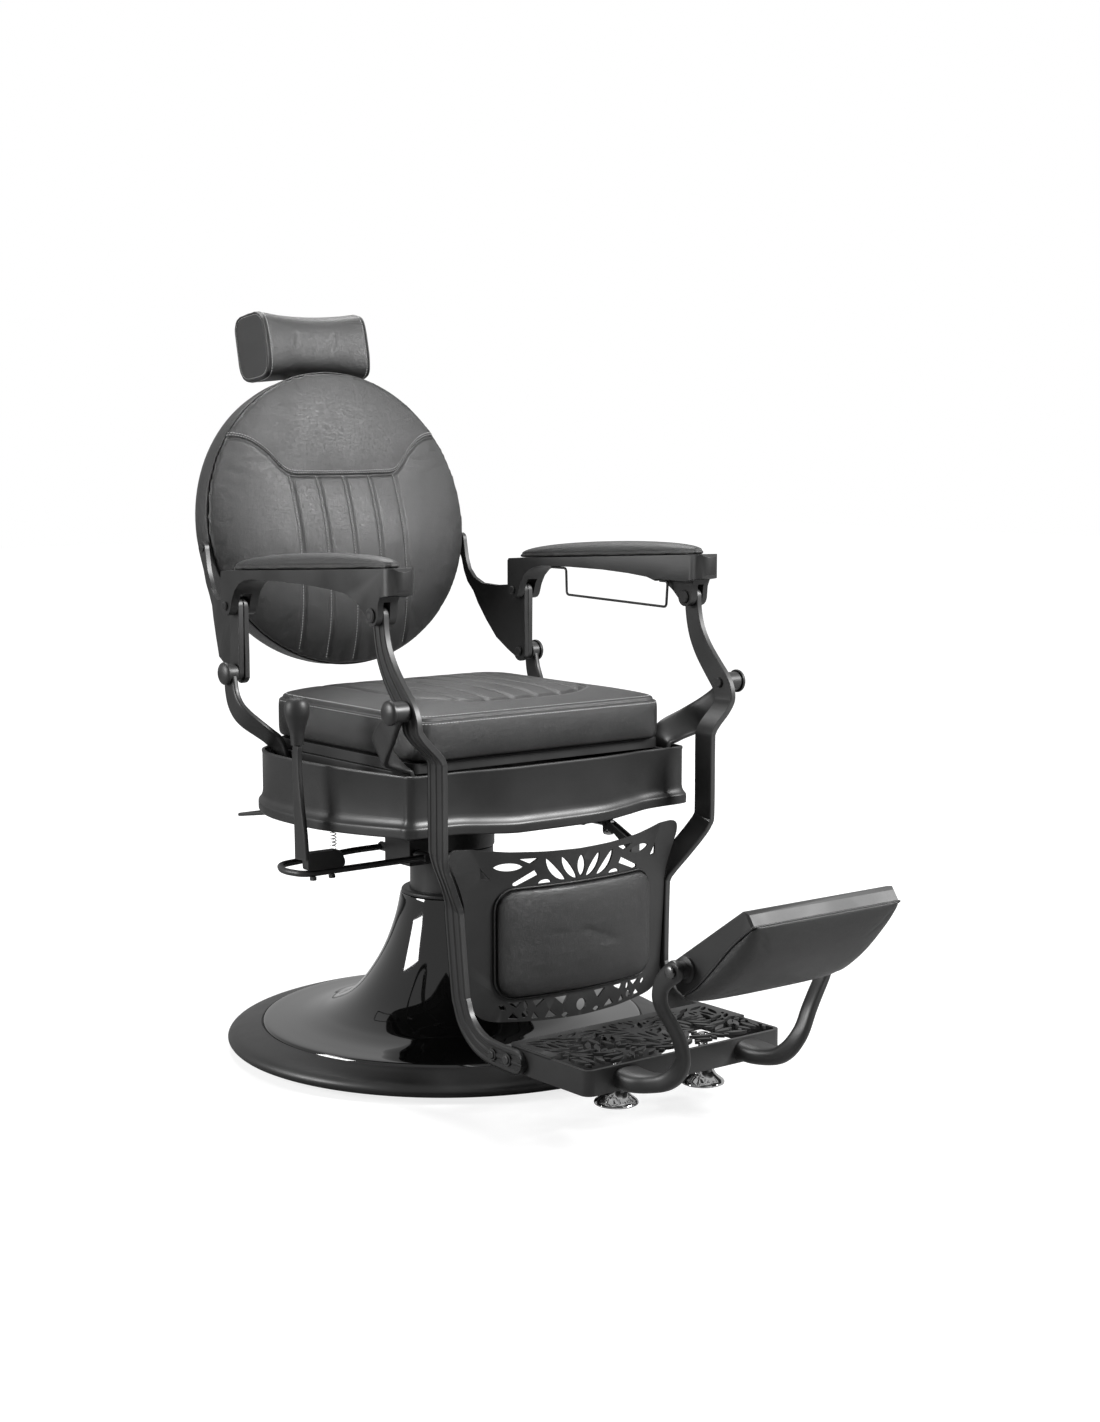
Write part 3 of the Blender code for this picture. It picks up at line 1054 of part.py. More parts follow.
def add_spring_lug(plate):
    """A forked lug on the back of the kick plate, with the pin that the gas spring's eye rides on."""
    y, z = SPRING_PIN
    back = kick_back_y(SPRING_X) - KICK_THICK / 2
    foot = add_box(bmesh.new(), (SPRING_X - 0.008, back, z - 0.036), (SPRING_X + 0.008, back + 0.008, z - 0.0145))
    use_tool(plate, foot, "UNION")
    outline = [(back + 0.006, z - 0.034), (back + 0.006, z - 0.016), (y - 0.012, z + 0.003)]
    outline += arc((y, z), 0.0068, 110, -90, 6) + [(y - 0.018, z - 0.010)]
    for side in (-1, 1):
        low_x = SPRING_X + side * (SPRING_EYE_THICK / 2 + 0.0023) - 0.0015
        use_tool(plate, side_plate(bmesh.new(), 1.0, low_x, 0.003, outline[::-1], []), "UNION")
    reach = SPRING_EYE_THICK / 2 + 0.003
    pin = ((SPRING_PIN_RADIUS, SPRING_X - reach), (SPRING_PIN_RADIUS, SPRING_X + reach))
    use_tool(plate, turn_profile(bmesh.new(), pin, 16, (0.0, y, z), "X"), "UNION")


def build_kick_plate():
    half = (
        (0.0, 0.1070), (0.070, 0.1090), (0.140, 0.1145), (0.158, 0.1190), (0.171, 0.1290), (0.1780, 0.1450),
        (LOWER_X - 0.0120, 0.1600), (LOWER_X - 0.0083, 0.2150), (LOWER_X - 0.0060, 0.2650), (0.1860, 0.2850),
        (0.1925, 0.3080), (0.2030, 0.3320), (0.2120, 0.3520), (0.2115, 0.3640), (0.2040, 0.3690),
        (0.1750, 0.3665), (0.120, 0.3590), (0.060, 0.3550), (0.0, 0.3535),
    )
    holes = []
    fan_base = 0.3165
    for angle, length in ((90, 0.027), (66, 0.026), (114, 0.026), (42, 0.025), (138, 0.025)):
        turn = math.radians(angle)
        reach = 0.0045 + length / 2
        holes.append(leaf((reach * math.cos(turn) * 1.25, fan_base + reach * math.sin(turn)), length, 0.0075, angle))
    for side in (1, -1):
        holes.append(leaf((side * 0.0520, 0.3360), 0.026, 0.0085, 90 - side * 62))
        holes.append(leaf((side * 0.0560, 0.3200), 0.020, 0.0060, side * 12))
        holes.append(leaf((side * 0.0840, 0.3330), 0.030, 0.0090, side * 8))
        holes.append(leaf((side * 0.1100, 0.3420), 0.022, 0.0085, 90 - side * 30))
        holes.append(leaf((side * 0.1060, 0.3220), 0.020, 0.0070, -side * 25))
        holes.append(leaf((side * 0.1290, 0.3330), 0.022, 0.0080, 90 - side * 15))
    holes.append(circle((0.0, 0.1290), 0.0085, 10))
    for side in (1, -1):
        for x, z, length, width, angle in (
            (0.024, 0.1345, 0.017, 0.0075, 25), (0.024, 0.1215, 0.015, 0.0065, -30), (0.047, 0.1300, 0.018, 0.0100, 80),
            (0.067, 0.1365, 0.017, 0.0070, 15), (0.068, 0.1240, 0.018, 0.0070, -18), (0.090, 0.1315, 0.020, 0.0100, 70),
            (0.110, 0.1365, 0.015, 0.0070, 10), (0.110, 0.1245, 0.015, 0.0065, -10), (0.129, 0.1320, 0.018, 0.0090, 60),
        ):
            holes.append(leaf((side * x, z), length, width, 90 + side * (angle - 90)))
    plate = flat_plate(bmesh.new(), mirrored(half), holes, KICK_THICK, kick_point)
    add_spring_lug(add_object("kick_plate", plate, "legs", SATIN))

    levels = ((0.0, GAP), (0.0, 0.008), (0.003, 0.0115), (0.010, 0.014), (0.028, 0.0165), (0.055, PANEL_DEPTH))
    rings = []
    for inset, depth in levels:
        radius = max(0.030 - inset * 0.4, 0.006)
        outline = rounded_box(-PANEL_HALF_WIDTH + inset, PANEL_HALF_WIDTH - inset, PANEL_BOTTOM + inset, PANEL_TOP - inset,
                              (radius,) * 4, 4)
        ring = []
        for x, z in spread(outline, 5):
            ring.append(kick_point(x, z, KICK_THICK + depth))
        rings.append(ring)
    add_object("kick_panel_pad", banded_mesh(rings), "legs", LEATHER, 50)


def spread(outline, extra):
    """Add points along the two long, level edges, so that the outline can be bowed."""
    points = []
    count = len(outline)
    for i, (x, z) in enumerate(outline):
        points.append((x, z))
        next_x, next_z = outline[(i + 1) % count]
        if abs(next_x - x) > 0.04:
            for k in range(1, extra + 1):
                share = k / (extra + 1)
                points.append((x + (next_x - x) * share, z + (next_z - z) * share))
    return points


def banded_mesh(rings):
    """Skin rings whose end caps are bowed, filling the caps with strips between facing points."""
    mesh_edit = add_rings(bmesh.new(), rings, closed_ends=False)
    mesh_edit.verts.ensure_lookup_table()
    count = len(rings[0])
    for first in (0, len(rings) - 1):
        ring = [mesh_edit.verts[first * count + i] for i in range(count)]
        order = sorted(range(count), key=lambda i: (round(ring[i].co.x, 5), ring[i].co.z))
        start = order[0]
        left = start
        right = start
        upper = [start]
        lower = [start]
        while len(upper) + len(lower) - 1 <= count and ring[left].co.x < max(v.co.x for v in ring) - 0.0001:
            left = (left - 1) % count
            upper.append(left)
        while ring[right].co.x < max(v.co.x for v in ring) - 0.0001:
            right = (right + 1) % count
            lower.append(right)
        chain = upper[::-1] + lower[1:]
        missing = [i for i in range(count) if i not in chain]
        for i in missing:
            upper.insert(0, i)
        fill_between(mesh_edit, [ring[i] for i in upper], [ring[i] for i in lower])
    return mesh_edit


def fill_between(mesh_edit, upper, lower):
    """Join two chains of points that run the same way with triangles."""
    i = 0
    j = 0
    while i < len(upper) - 1 or j < len(lower) - 1:
        step_upper = j == len(lower) - 1 or (i < len(upper) - 1 and upper[i + 1].co.x <= lower[j + 1].co.x)
        if step_upper:
            corner = {upper[i], upper[i + 1], lower[j]}
            i += 1
        else:
            corner = {upper[i], lower[j], lower[j + 1]}
            j += 1
        if len(corner) == 3:
            mesh_edit.faces.new(tuple(corner))


def foot_plate_holes():
    """Leaves in rows between two rails, left solid over the feet."""
    holes = []
    rows = 5
    columns = 10
    depth = FOOT_PLATE_REAR - FOOT_PLATE_FRONT - 0.034
    for row in range(rows):
        y = FOOT_PLATE_FRONT + 0.022 + depth * row / (rows - 1)
        for column in range(columns):
            x = -0.145 + 0.290 * column / (columns - 1)
            if row % 2:
                x += -0.009 if column < columns / 2 else 0.009
            if abs(abs(x) - FOOT_X_PLACE) < 0.020 and abs(y - FOOT_Y_PLACE) < 0.016:
                continue
            angle = 35 if (row + column) % 2 else -35
            holes.append(leaf((x, y), 0.027, 0.0115, angle if x > 0 else -angle, 2))
    return holes


def build_foot_plate():
    outer = rounded_box(-FOOT_PLATE_HALF_WIDTH, FOOT_PLATE_HALF_WIDTH, FOOT_PLATE_FRONT, FOOT_PLATE_REAR,
                        (0.014, 0.006, 0.006, 0.014), 3)
    low = FOOT_PLATE_TOP - FOOT_PLATE_THICK
    top_face = flat_plate(bmesh.new(), outer, foot_plate_holes(), FOOT_PLATE_THICK, lambda x, y, d: Vector((x, y, low + d)))
    plate = add_object("foot_plate", top_face, "legs", SATIN)
    rim = FOOT_PLATE_RIM
    inner = rounded_box(-FOOT_PLATE_HALF_WIDTH + rim, FOOT_PLATE_HALF_WIDTH - rim, FOOT_PLATE_FRONT + rim,
                        FOOT_PLATE_REAR - rim, (0.008, 0.003, 0.003, 0.008), 3)
    wall_top = low + FOOT_PLATE_THICK / 2
    levels = ((outer, FOOT_PLATE_BOTTOM), (outer, wall_top), (inner, wall_top), (inner, FOOT_PLATE_BOTTOM))
    wall = rings_mesh([[Vector((x, y, z)) for x, y in outline] for outline, z in levels], loop=True)
    use_tool(plate, wall, "UNION")

    top = low - GAP
    profile = (
        (FOOT_RADIUS - 0.002, FOOT_BOTTOM), (FOOT_RADIUS, FOOT_BOTTOM + 0.0015), (FOOT_RADIUS, FOOT_BOTTOM + 0.004),
        (FOOT_RADIUS - 0.004, FOOT_BOTTOM + 0.007), (0.0185, FOOT_BOTTOM + 0.015), (0.0145, FOOT_BOTTOM + 0.024),
        (0.0135, FOOT_BOTTOM + 0.028), (0.0070, FOOT_BOTTOM + 0.030), (0.0070, top),
    )
    for word, side in SIDES.items():
        place = (side * FOOT_X_PLACE, FOOT_Y_PLACE, 0.0)
        add_object("tread_foot_" + word, turn_profile(bmesh.new(), profile, 24, place), "legs", CHROME)


def build_footrest_arms():
    y, z = CALF_PIVOT
    front = FOOT_PLATE_FRONT - GAP
    top = FOOT_ARM_X
    stations = (
        (0.1105, front, 0.088, 0.030, 0.048), (0.1105, front - 0.026, 0.0880, 0.0285, 0.046),
        (0.1070, front - 0.049, 0.0905, 0.026, 0.034), (0.1040, front - 0.071, 0.0965, 0.025, 0.024),
        (0.1030, front - 0.090, 0.109, 0.025, 0.018), (0.1045, front - 0.1035, 0.125, 0.025, 0.0150),
        (0.1090, front - 0.1115, 0.143, 0.025, 0.013), (0.1180, front - 0.1135, 0.167, 0.025, 0.013),
        (0.1310, front - 0.113, 0.189, 0.025, 0.013), (0.1430, front - 0.112, 0.207, 0.025, 0.0125),
        (top - 0.002, front - 0.1125, 0.225, 0.025, 0.0125), (top, y + 0.0255, z - 0.024, 0.026, FOOT_ARM_THICK),
        (top, y + 0.014, z - 0.0105, 0.028, FOOT_ARM_THICK), (top, y, z, 0.030, FOOT_ARM_THICK),
    )
    for word, side in SIDES.items():
        arm = add_object("footrest_arm_" + word, add_strap(
            bmesh.new(), side, stations, ROUND_SECTION, 0.0, 0.015), "legs", SATIN)
        hole = ((PIVOT_HOLE_RADIUS, top - 0.012), (PIVOT_HOLE_RADIUS, top + 0.012))
        use_tool(arm, turn_profile(bmesh.new(), hole, 16, (0.0, *CALF_PIVOT), "X" if side > 0 else "-X"), "DIFFERENCE")


# ---------------------------------------------------------------- calf pad
def calf_point(x, along, depth):
    """A point on the calf pad: along its slope from the lower end, and depth below its back face."""
    c, s = math.cos(CALF_SLOPE), math.sin(CALF_SLOPE)
    return Vector((x, CALF_CORNER[0] - along * c - depth * s, CALF_CORNER[1] + along * s - depth * c))


def build_calf_pad():
    seam = ((0.178, 0.0245), (0.150, 0.0262), (0.120, 0.0300), (0.085, 0.0375), (0.055, 0.0430), (0.030, 0.0455), (0.008, 0.0430))
    shell_side = [(0.004, 0.0), (0.170, 0.0), (0.1765, 0.0030), (0.178, 0.0090)] + list(seam) + [
        (0.000, 0.0350), (-0.003, 0.0200), (-0.0015, 0.0060)]
    rings = []
    for x, inset in ((-CALF_HALF_WIDTH, 0.003), (-CALF_HALF_WIDTH + 0.003, 0.0), (CALF_HALF_WIDTH - 0.003, 0.0), (CALF_HALF_WIDTH, 0.003)):
        ring = []
        for along, depth in shell_side:
            along_in = min(max(along, inset), 0.178 - inset)
            ring.append(calf_point(x, along_in, max(depth, inset)))
        rings.append(ring)
    shell = add_object("calf_pad_shell", rings_mesh(rings), "calf_pad", SATIN)

    bulge = ((0.001, 0.0560), (0.020, 0.0670), (0.055, 0.0720), (0.100, 0.0670), (0.145, 0.0540), (0.172, 0.0410), (0.182, 0.0310))
    rings = []
    for x, full in ((-CALF_HALF_WIDTH - 0.001, 0.35), (-CALF_HALF_WIDTH + 0.006, 0.75), (-CALF_HALF_WIDTH + 0.020, 0.94),
                    (-CALF_HALF_WIDTH * 0.5, 1.0), (CALF_HALF_WIDTH * 0.5, 1.0), (CALF_HALF_WIDTH - 0.020, 0.94),
                    (CALF_HALF_WIDTH - 0.006, 0.75), (CALF_HALF_WIDTH + 0.001, 0.35)):
        ring = []
        for along, depth in seam:
            ring.append(calf_point(x, along, depth + GAP * 1.2))
        for along, depth in bulge:
            floor = 0.0455 - (along / 0.178) * 0.021
            ring.append(calf_point(x, 0.090 + (along - 0.090) * (0.985 + 0.015 * full), floor + GAP * 2 + (depth - floor) * full))
        rings.append(ring)
    add_object("calf_pad_cushion", rings_mesh(rings), "calf_pad", LEATHER, 50)

    side_face = CALF_HALF_WIDTH - 0.001
    boss_end = FOOT_ARM_X - FOOT_ARM_THICK / 2 - GAP
    arm_face = FOOT_ARM_X + FOOT_ARM_THICK / 2 + GAP
    boss = ((0.0175, side_face), (0.0175, side_face + 0.005), (0.0115, side_face + 0.006), (0.0115, boss_end))
    bore = ((PIVOT_HOLE_RADIUS, side_face - 0.016), (PIVOT_HOLE_RADIUS, boss_end + 0.01))
    bolt = (
        (PIVOT_PIN_RADIUS, side_face - 0.012), (PIVOT_PIN_RADIUS, arm_face), (0.0085, arm_face), (0.0085, arm_face + 0.004),
        (0.006, arm_face + 0.005),
    )
    for word, side in SIDES.items():
        axis = "X" if side > 0 else "-X"
        place = (0.0, *CALF_PIVOT)
        use_tool(shell, turn_profile(bmesh.new(), boss, 24, place, axis), "UNION")
        use_tool(shell, turn_profile(bmesh.new(), bore, 16, place, axis), "DIFFERENCE")
        add_object("calf_pad_bolt_" + word, turn_profile(bmesh.new(), bolt, 12, place, axis), "calf_pad", STEEL)


build_base()
build_column()
build_seat()
build_pivot_brackets()
build_gas_spring()
build_lever()
build_release(bpy.data.objects["seat_frame"])
build_back()
build_headrest()
build_armrests()
build_straps()
build_kick_plate()
build_foot_plate()
build_footrest_arms()
build_calf_pad()
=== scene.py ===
"""Looks of the barber chair: finer pieces, cushions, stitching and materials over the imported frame.

Metres, +Z up, the chair faces -Y and its left is +X. Points of the side view are (y, z) pairs.
"""
import json
import math

import bmesh
import bpy
import numpy as np
from mathutils import Matrix, Vector
from mathutils.bvhtree import BVHTree

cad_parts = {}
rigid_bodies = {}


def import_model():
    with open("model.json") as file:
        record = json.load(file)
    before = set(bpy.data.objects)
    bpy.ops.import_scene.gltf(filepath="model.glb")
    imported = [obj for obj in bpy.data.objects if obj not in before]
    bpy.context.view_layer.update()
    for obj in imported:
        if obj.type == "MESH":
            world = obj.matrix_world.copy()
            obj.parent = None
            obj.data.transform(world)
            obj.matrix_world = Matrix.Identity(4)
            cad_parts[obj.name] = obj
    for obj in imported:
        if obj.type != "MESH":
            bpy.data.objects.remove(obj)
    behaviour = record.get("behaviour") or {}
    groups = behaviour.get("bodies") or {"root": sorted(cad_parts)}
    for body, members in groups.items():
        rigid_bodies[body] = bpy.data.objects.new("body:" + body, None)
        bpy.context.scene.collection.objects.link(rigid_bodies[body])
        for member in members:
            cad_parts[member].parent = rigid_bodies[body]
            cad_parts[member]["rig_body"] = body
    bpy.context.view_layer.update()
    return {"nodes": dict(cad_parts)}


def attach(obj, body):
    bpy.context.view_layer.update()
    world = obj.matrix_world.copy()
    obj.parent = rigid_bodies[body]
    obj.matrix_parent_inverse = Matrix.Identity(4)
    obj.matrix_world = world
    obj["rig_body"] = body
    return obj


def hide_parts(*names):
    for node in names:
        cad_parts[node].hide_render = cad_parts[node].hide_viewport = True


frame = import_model()
SIDES = {"left": 1.0, "right": -1.0}
GAP = 0.0004

# Pivots and widths of the linkage that several pieces share
FRONT_PIVOT = (-0.303, 0.573)
REAR_PIVOT = (0.171, 0.585)
ARM_FRONT_PIVOT = (-0.237, 0.7)
ARM_REAR_PIVOT = (0.17, 0.688)
STRAP_X = 0.288
REAR_LINK_X = 0.2773
ARM_WIDTH = 0.0465
METAL_THICKNESS = 0.01


# ---------------------------------------------------------------- materials
def add_node(tree, kind, inputs=(), **settings):
    item = tree.nodes.new(kind)
    for key, value in settings.items():
        setattr(item, key, value)
    for key, value in dict(inputs).items():
        if isinstance(value, bpy.types.NodeSocket):
            tree.links.new(value, item.inputs[key])
        else:
            item.inputs[key].default_value = value
    return item


def noise_at(tree, place, scale, detail=3.0, roughness=0.5):
    found = add_node(tree, "ShaderNodeTexNoise",
                     {"Vector": place, "Scale": scale, "Detail": detail, "Roughness": roughness})
    return found.outputs["Fac"]


def spread_to(tree, value, low, high, start=0.3, end=0.7):
    found = add_node(tree, "ShaderNodeMapRange",
                     {"Value": value, "From Min": start, "From Max": end, "To Min": low, "To Max": high})
    return found.outputs["Result"]


def blend_colours(tree, factor, first, second):
    ramp = add_node(tree, "ShaderNodeValToRGB", {"Fac": factor})
    ramp.color_ramp.elements[0].position = 0.3
    ramp.color_ramp.elements[0].color = (*first, 1.0)
    ramp.color_ramp.elements[1].position = 0.7
    ramp.color_ramp.elements[1].color = (*second, 1.0)
    return ramp.outputs["Color"]


def bumped(tree, height, distance, strength, below=None):
    inputs = {"Height": height, "Distance": distance, "Strength": strength}
    if below is not None:
        inputs["Normal"] = below
    return add_node(tree, "ShaderNodeBump", inputs).outputs["Normal"]


def start_material(name, metallic=0.0, **sockets):
    material = bpy.data.materials.new(name)
    material.use_nodes = True
    tree = material.node_tree
    shader = tree.nodes["Principled BSDF"]
    shader.inputs["Metallic"].default_value = metallic
    for key, value in sockets.items():
        shader.inputs[key.replace("_", " ")].default_value = value
    place = add_node(tree, "ShaderNodeTexCoord").outputs["Object"]
    return material, tree, shader, place


def make_leather(name, dark, light, low, high):
    """Fine pebbled grain in soft creases, with roughness that varies where it has been rubbed."""
    material, tree, shader, place = start_material(name, Specular_IOR_Level=0.6)
    drift = add_node(tree, "ShaderNodeTexNoise",
                     {"Vector": place, "Scale": 240.0, "Detail": 2.0}).outputs["Color"]
    bent = add_node(tree, "ShaderNodeMixRGB", {"Fac": 0.012, "Color1": place,
                                               "Color2": drift}).outputs["Color"]
    cells = add_node(tree, "ShaderNodeTexVoronoi", {"Vector": bent, "Scale": 560.0},
                     feature="DISTANCE_TO_EDGE").outputs["Distance"]
    grain = spread_to(tree, cells, 0.0, 1.0, 0.0, 0.16)
    normal = bumped(tree, noise_at(tree, place, 26.0, 4.0), 0.0022, 0.3)
    normal = bumped(tree, grain, 0.00022, 0.55, normal)
    normal = bumped(tree, noise_at(tree, place, 1500.0, 2.0), 0.00005, 0.5, normal)
    tree.links.new(normal, shader.inputs["Normal"])
    wear = noise_at(tree, place, 9.0, 5.0, 0.6)
    tree.links.new(blend_colours(tree, wear, (dark,) * 3, (light,) * 3), shader.inputs["Base Color"])
    tree.links.new(spread_to(tree, wear, low, high), shader.inputs["Roughness"])
    return material


def make_paint(name, dark, light, low, high, grain, edge=0.0, coat=0.0):
    """Paint with its own texture; edge is how much lighter it has worn along the edges."""
    material, tree, shader, place = start_material(name, Coat_Weight=coat, Coat_Roughness=0.03)
    wear = noise_at(tree, place, 7.0, 6.0, 0.62)
    colour = blend_colours(tree, wear, (dark,) * 3, (light,) * 3)
    if edge:
        sharp = add_node(tree, "ShaderNodeNewGeometry").outputs["Pointiness"]
        share = spread_to(tree, sharp, 0.0, edge, 0.52, 0.6)
        colour = add_node(tree, "ShaderNodeMixRGB",
                          {"Fac": share, "Color1": colour, "Color2": (0.1, 0.1, 0.1, 1.0)}).outputs["Color"]
    tree.links.new(colour, shader.inputs["Base Color"])
    tree.links.new(spread_to(tree, noise_at(tree, place, 14.0, 4.0), low, high), shader.inputs["Roughness"])
    normal = bumped(tree, noise_at(tree, place, 11.0, 2.0), 0.0012, grain * 0.4)
    normal = bumped(tree, noise_at(tree, place, 900.0, 2.0), 0.00008, grain, normal)
    tree.links.new(normal, shader.inputs["Normal"])
    return material


def make_metal(name, tone, low, high, scratch):
    material, tree, shader, place = start_material(name, metallic=1.0)
    colour = blend_colours(tree, noise_at(tree, place, 18.0, 4.0), (tone * 0.85,) * 3, (tone,) * 3)
    tree.links.new(colour, shader.inputs["Base Color"])
    tree.links.new(spread_to(tree, noise_at(tree, place, 60.0, 5.0), low, high), shader.inputs["Roughness"])
    tree.links.new(bumped(tree, noise_at(tree, place, 700.0, 3.0), 0.00004, scratch),
                   shader.inputs["Normal"])
    return material


def make_thread(name, dark, light):
    material, tree, shader, place = start_material(name, Sheen_Weight=0.2)
    twist = add_node(tree, "ShaderNodeTexWave", {"Vector": place, "Scale": 420.0, "Distortion": 2.0},
                     bands_direction="DIAGONAL")
    colour = blend_colours(tree, noise_at(tree, place, 90.0), (dark,) * 3, (light,) * 3)
    tree.links.new(colour, shader.inputs["Base Color"])
    tree.links.new(spread_to(tree, noise_at(tree, place, 200.0), 0.6, 0.8), shader.inputs["Roughness"])
    tree.links.new(bumped(tree, twist.outputs["Fac"], 0.0001, 0.6), shader.inputs["Normal"])
    return material


LEATHER = make_leather("leather", 0.012, 0.018, 0.35, 0.46)
PIPING = make_leather("leather_piping", 0.006, 0.01, 0.34, 0.46)
SATIN = make_paint("satin_powder_coat", 0.013, 0.019, 0.34, 0.46, 0.35, edge=0.3)
GLOSS = make_paint("gloss_enamel", 0.002, 0.004, 0.04, 0.07, 0.03, coat=0.8)
BOARD = make_paint("matt_board", 0.012, 0.018, 0.44, 0.56, 0.5, edge=0.2)
RUBBER = make_paint("moulded_rubber", 0.01, 0.016, 0.38, 0.55, 0.5)
CHROME = make_metal("chrome_plate", 0.82, 0.04, 0.11, 0.15)
STEEL = make_metal("oiled_steel", 0.14, 0.24, 0.42, 0.6)
BOLT = make_metal("black_oxide", 0.13, 0.22, 0.36, 0.4)
THREAD = make_thread("light_thread", 0.46, 0.58)
DARK_THREAD = make_thread("dark_thread", 0.1, 0.16)


# ---------------------------------------------------------------- pieces
def make_object(name, edit, material, smooth=40.0):
    bmesh.ops.remove_doubles(edit, verts=edit.verts, dist=0.000004)
    bmesh.ops.recalc_face_normals(edit, faces=edit.faces)
    mesh = bpy.data.meshes.new(name)
    edit.to_mesh(mesh)
    edit.free()
    mesh.materials.append(material)
    mesh.shade_smooth()
    mesh.set_sharp_from_angle(angle=math.radians(smooth))
    thing = bpy.data.objects.new(name, mesh)
    bpy.context.scene.collection.objects.link(thing)
    return thing


def seat_piece(thing, body, replaces=()):
    """Make a finished piece ride on its body and stand for its nodes."""
    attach(thing, body)
    if replaces:
        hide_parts(*replaces)
    return thing


def soften(thing, width, segments=3, angle=32.0):
    bevel = thing.modifiers.new("edges", "BEVEL")
    bevel.width = width
    bevel.segments = segments
    bevel.limit_method = "ANGLE"
    bevel.angle_limit = math.radians(angle)
    bevel.harden_normals = True
    bevel.use_clamp_overlap = True
    return thing


def piece(name, edit, body, material, replaces=(), smooth=40.0, bevel=0.0):
    thing = make_object(name, edit, material, smooth)
    if bevel:
        soften(thing, bevel)
    return seat_piece(thing, body, replaces)


def refined(node, material, bevel, smooth=40.0, segments=3):
    """A copy of a CAD solid with its flat faces merged and its edges rounded, in place of the node."""
    source = frame["nodes"][node]
    edit = bmesh.new()
    edit.from_mesh(source.data)
    bmesh.ops.remove_doubles(edit, verts=edit.verts, dist=0.00002)
    bmesh.ops.dissolve_limit(edit, angle_limit=math.radians(0.6), verts=edit.verts, edges=edit.edges)
    thing = make_object(node + "_fine", edit, material, smooth)
    soften(thing, bevel, segments)
    return seat_piece(thing, source["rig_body"], (node,))


def dress(node, material):
    """A CAD node that is shown as it is."""
    data = frame["nodes"][node].data
    data.materials.clear()
    data.materials.append(material)


def bake(thing):
    """Replace the mesh with what its modifiers make of it."""
    graph = bpy.context.evaluated_depsgraph_get()
    made = bpy.data.meshes.new_from_object(thing.evaluated_get(graph))
    old = thing.data
    thing.modifiers.clear()
    thing.data = made
    bpy.data.meshes.remove(old)
    return thing


# ---------------------------------------------------------------- shape helpers
def add_rings(edit, rings, closed_ends=True, loop=False):
    made = [[edit.verts.new(point) for point in ring] for ring in rings]
    count = len(made[0])
    pairs = list(zip(made, made[1:]))
    if loop:
        pairs.append((made[-1], made[0]))
    for lower, upper in pairs:
        for i in range(count):
            j = (i + 1) % count
            edit.faces.new((lower[i], lower[j], upper[j], upper[i]))
    if closed_ends and not loop:
        edit.faces.new(made[0][::-1])
        edit.faces.new(made[-1])
    return edit


def smooth_path(stations, parts):
    """Catmull-Rom curve through stations of any number of values."""
    def at(i):
        return stations[max(0, min(i, len(stations) - 1))]

    points = []
    for i in range(len(stations) - 1):
        for k in range(parts):
            t = k / parts
            weights = (-0.5 * t + t * t - 0.5 * t ** 3, 1 - 2.5 * t * t + 1.5 * t ** 3,
                       0.5 * t + 2 * t * t - 1.5 * t ** 3, -0.5 * t * t + 0.5 * t ** 3)
            near = (at(i - 1), at(i), at(i + 1), at(i + 2))
            points.append(tuple(sum(w * p[c] for w, p in zip(weights, near))
                                for c in range(len(stations[0]))))
    points.append(tuple(stations[-1]))
    return points


def arc(centre, radius, start, end, steps):
    points = []
    for i in range(steps + 1):
        angle = math.radians(start + (end - start) * i / steps)
        points.append((centre[0] + radius * math.cos(angle), centre[1] + radius * math.sin(angle)))
    return points


def circle(centre, radius, steps=32):
    return arc(centre, radius, 0.0, 360.0, steps)[:-1]


def ease(points, radius, steps=4, loop=False):
    """Round each corner of a polyline, in two or three dimensions."""
    vectors = [Vector(p) for p in points]
    count = len(vectors)
    bent = []
    for i, corner in enumerate(vectors):
        if not loop and i in (0, count - 1):
            bent.append(corner)
            continue
        before = vectors[i - 1] - corner
        after = vectors[(i + 1) % count] - corner
        before = before.normalized() * min(radius, before.length * 0.45)
        after = after.normalized() * min(radius, after.length * 0.45)
        for k in range(steps + 1):
            t = k / steps
            bent.append(corner + before * (1 - t) ** 2 + after * t ** 2)
    return bent


def rounded_box(left, right, bottom, top, radii, steps=8):
    """Outline with corner radii in the order bottom right, top right, top left, bottom left."""
    corners = ((right, bottom, -1, 1, -90), (right, top, -1, -1, 0), (left, top, 1, -1, 90),
               (left, bottom, 1, 1, 180))
    points = []
    for (x, y, to_x, to_y, start), radius in zip(corners, radii):
        points += arc((x + to_x * radius, y + to_y * radius), radius, start, start + 90, steps)
    return points


def leaf(centre, length, width, angle, steps=9):
    """A pointed leaf, turned by an angle in degrees."""
    points = []
    for side in (1, -1):
        for i in range(steps + 1):
            along = side * (2 * i / (steps + 1) - 1)
            points.append((along * length / 2, side * width / 2 * (1 - along * along)))
    turn = math.radians(angle)
    return [(centre[0] + x * math.cos(turn) - y * math.sin(turn),
             centre[1] + x * math.sin(turn) + y * math.cos(turn)) for x, y in points]


def petal(start, end, width, bend, steps=9):
    """A pointed leaf from start to end whose middle is pushed aside by bend."""
    start, end = Vector(start), Vector(end)
    along = end - start
    side = Vector((-along.y, along.x)).normalized()
    points = []
    for flip in (1, -1):
        for i in range(steps + 1):
            t = i / (steps + 1) if flip > 0 else 1 - i / (steps + 1)
            full = 4 * t * (1 - t)
            points.append(tuple(start + along * t + side * (bend * full + flip * width / 2 * full ** 0.75)))
    return points


def rounded(corners, radius=0.0012):
    return [tuple(p) for p in ease(corners, radius, 3, loop=True)]


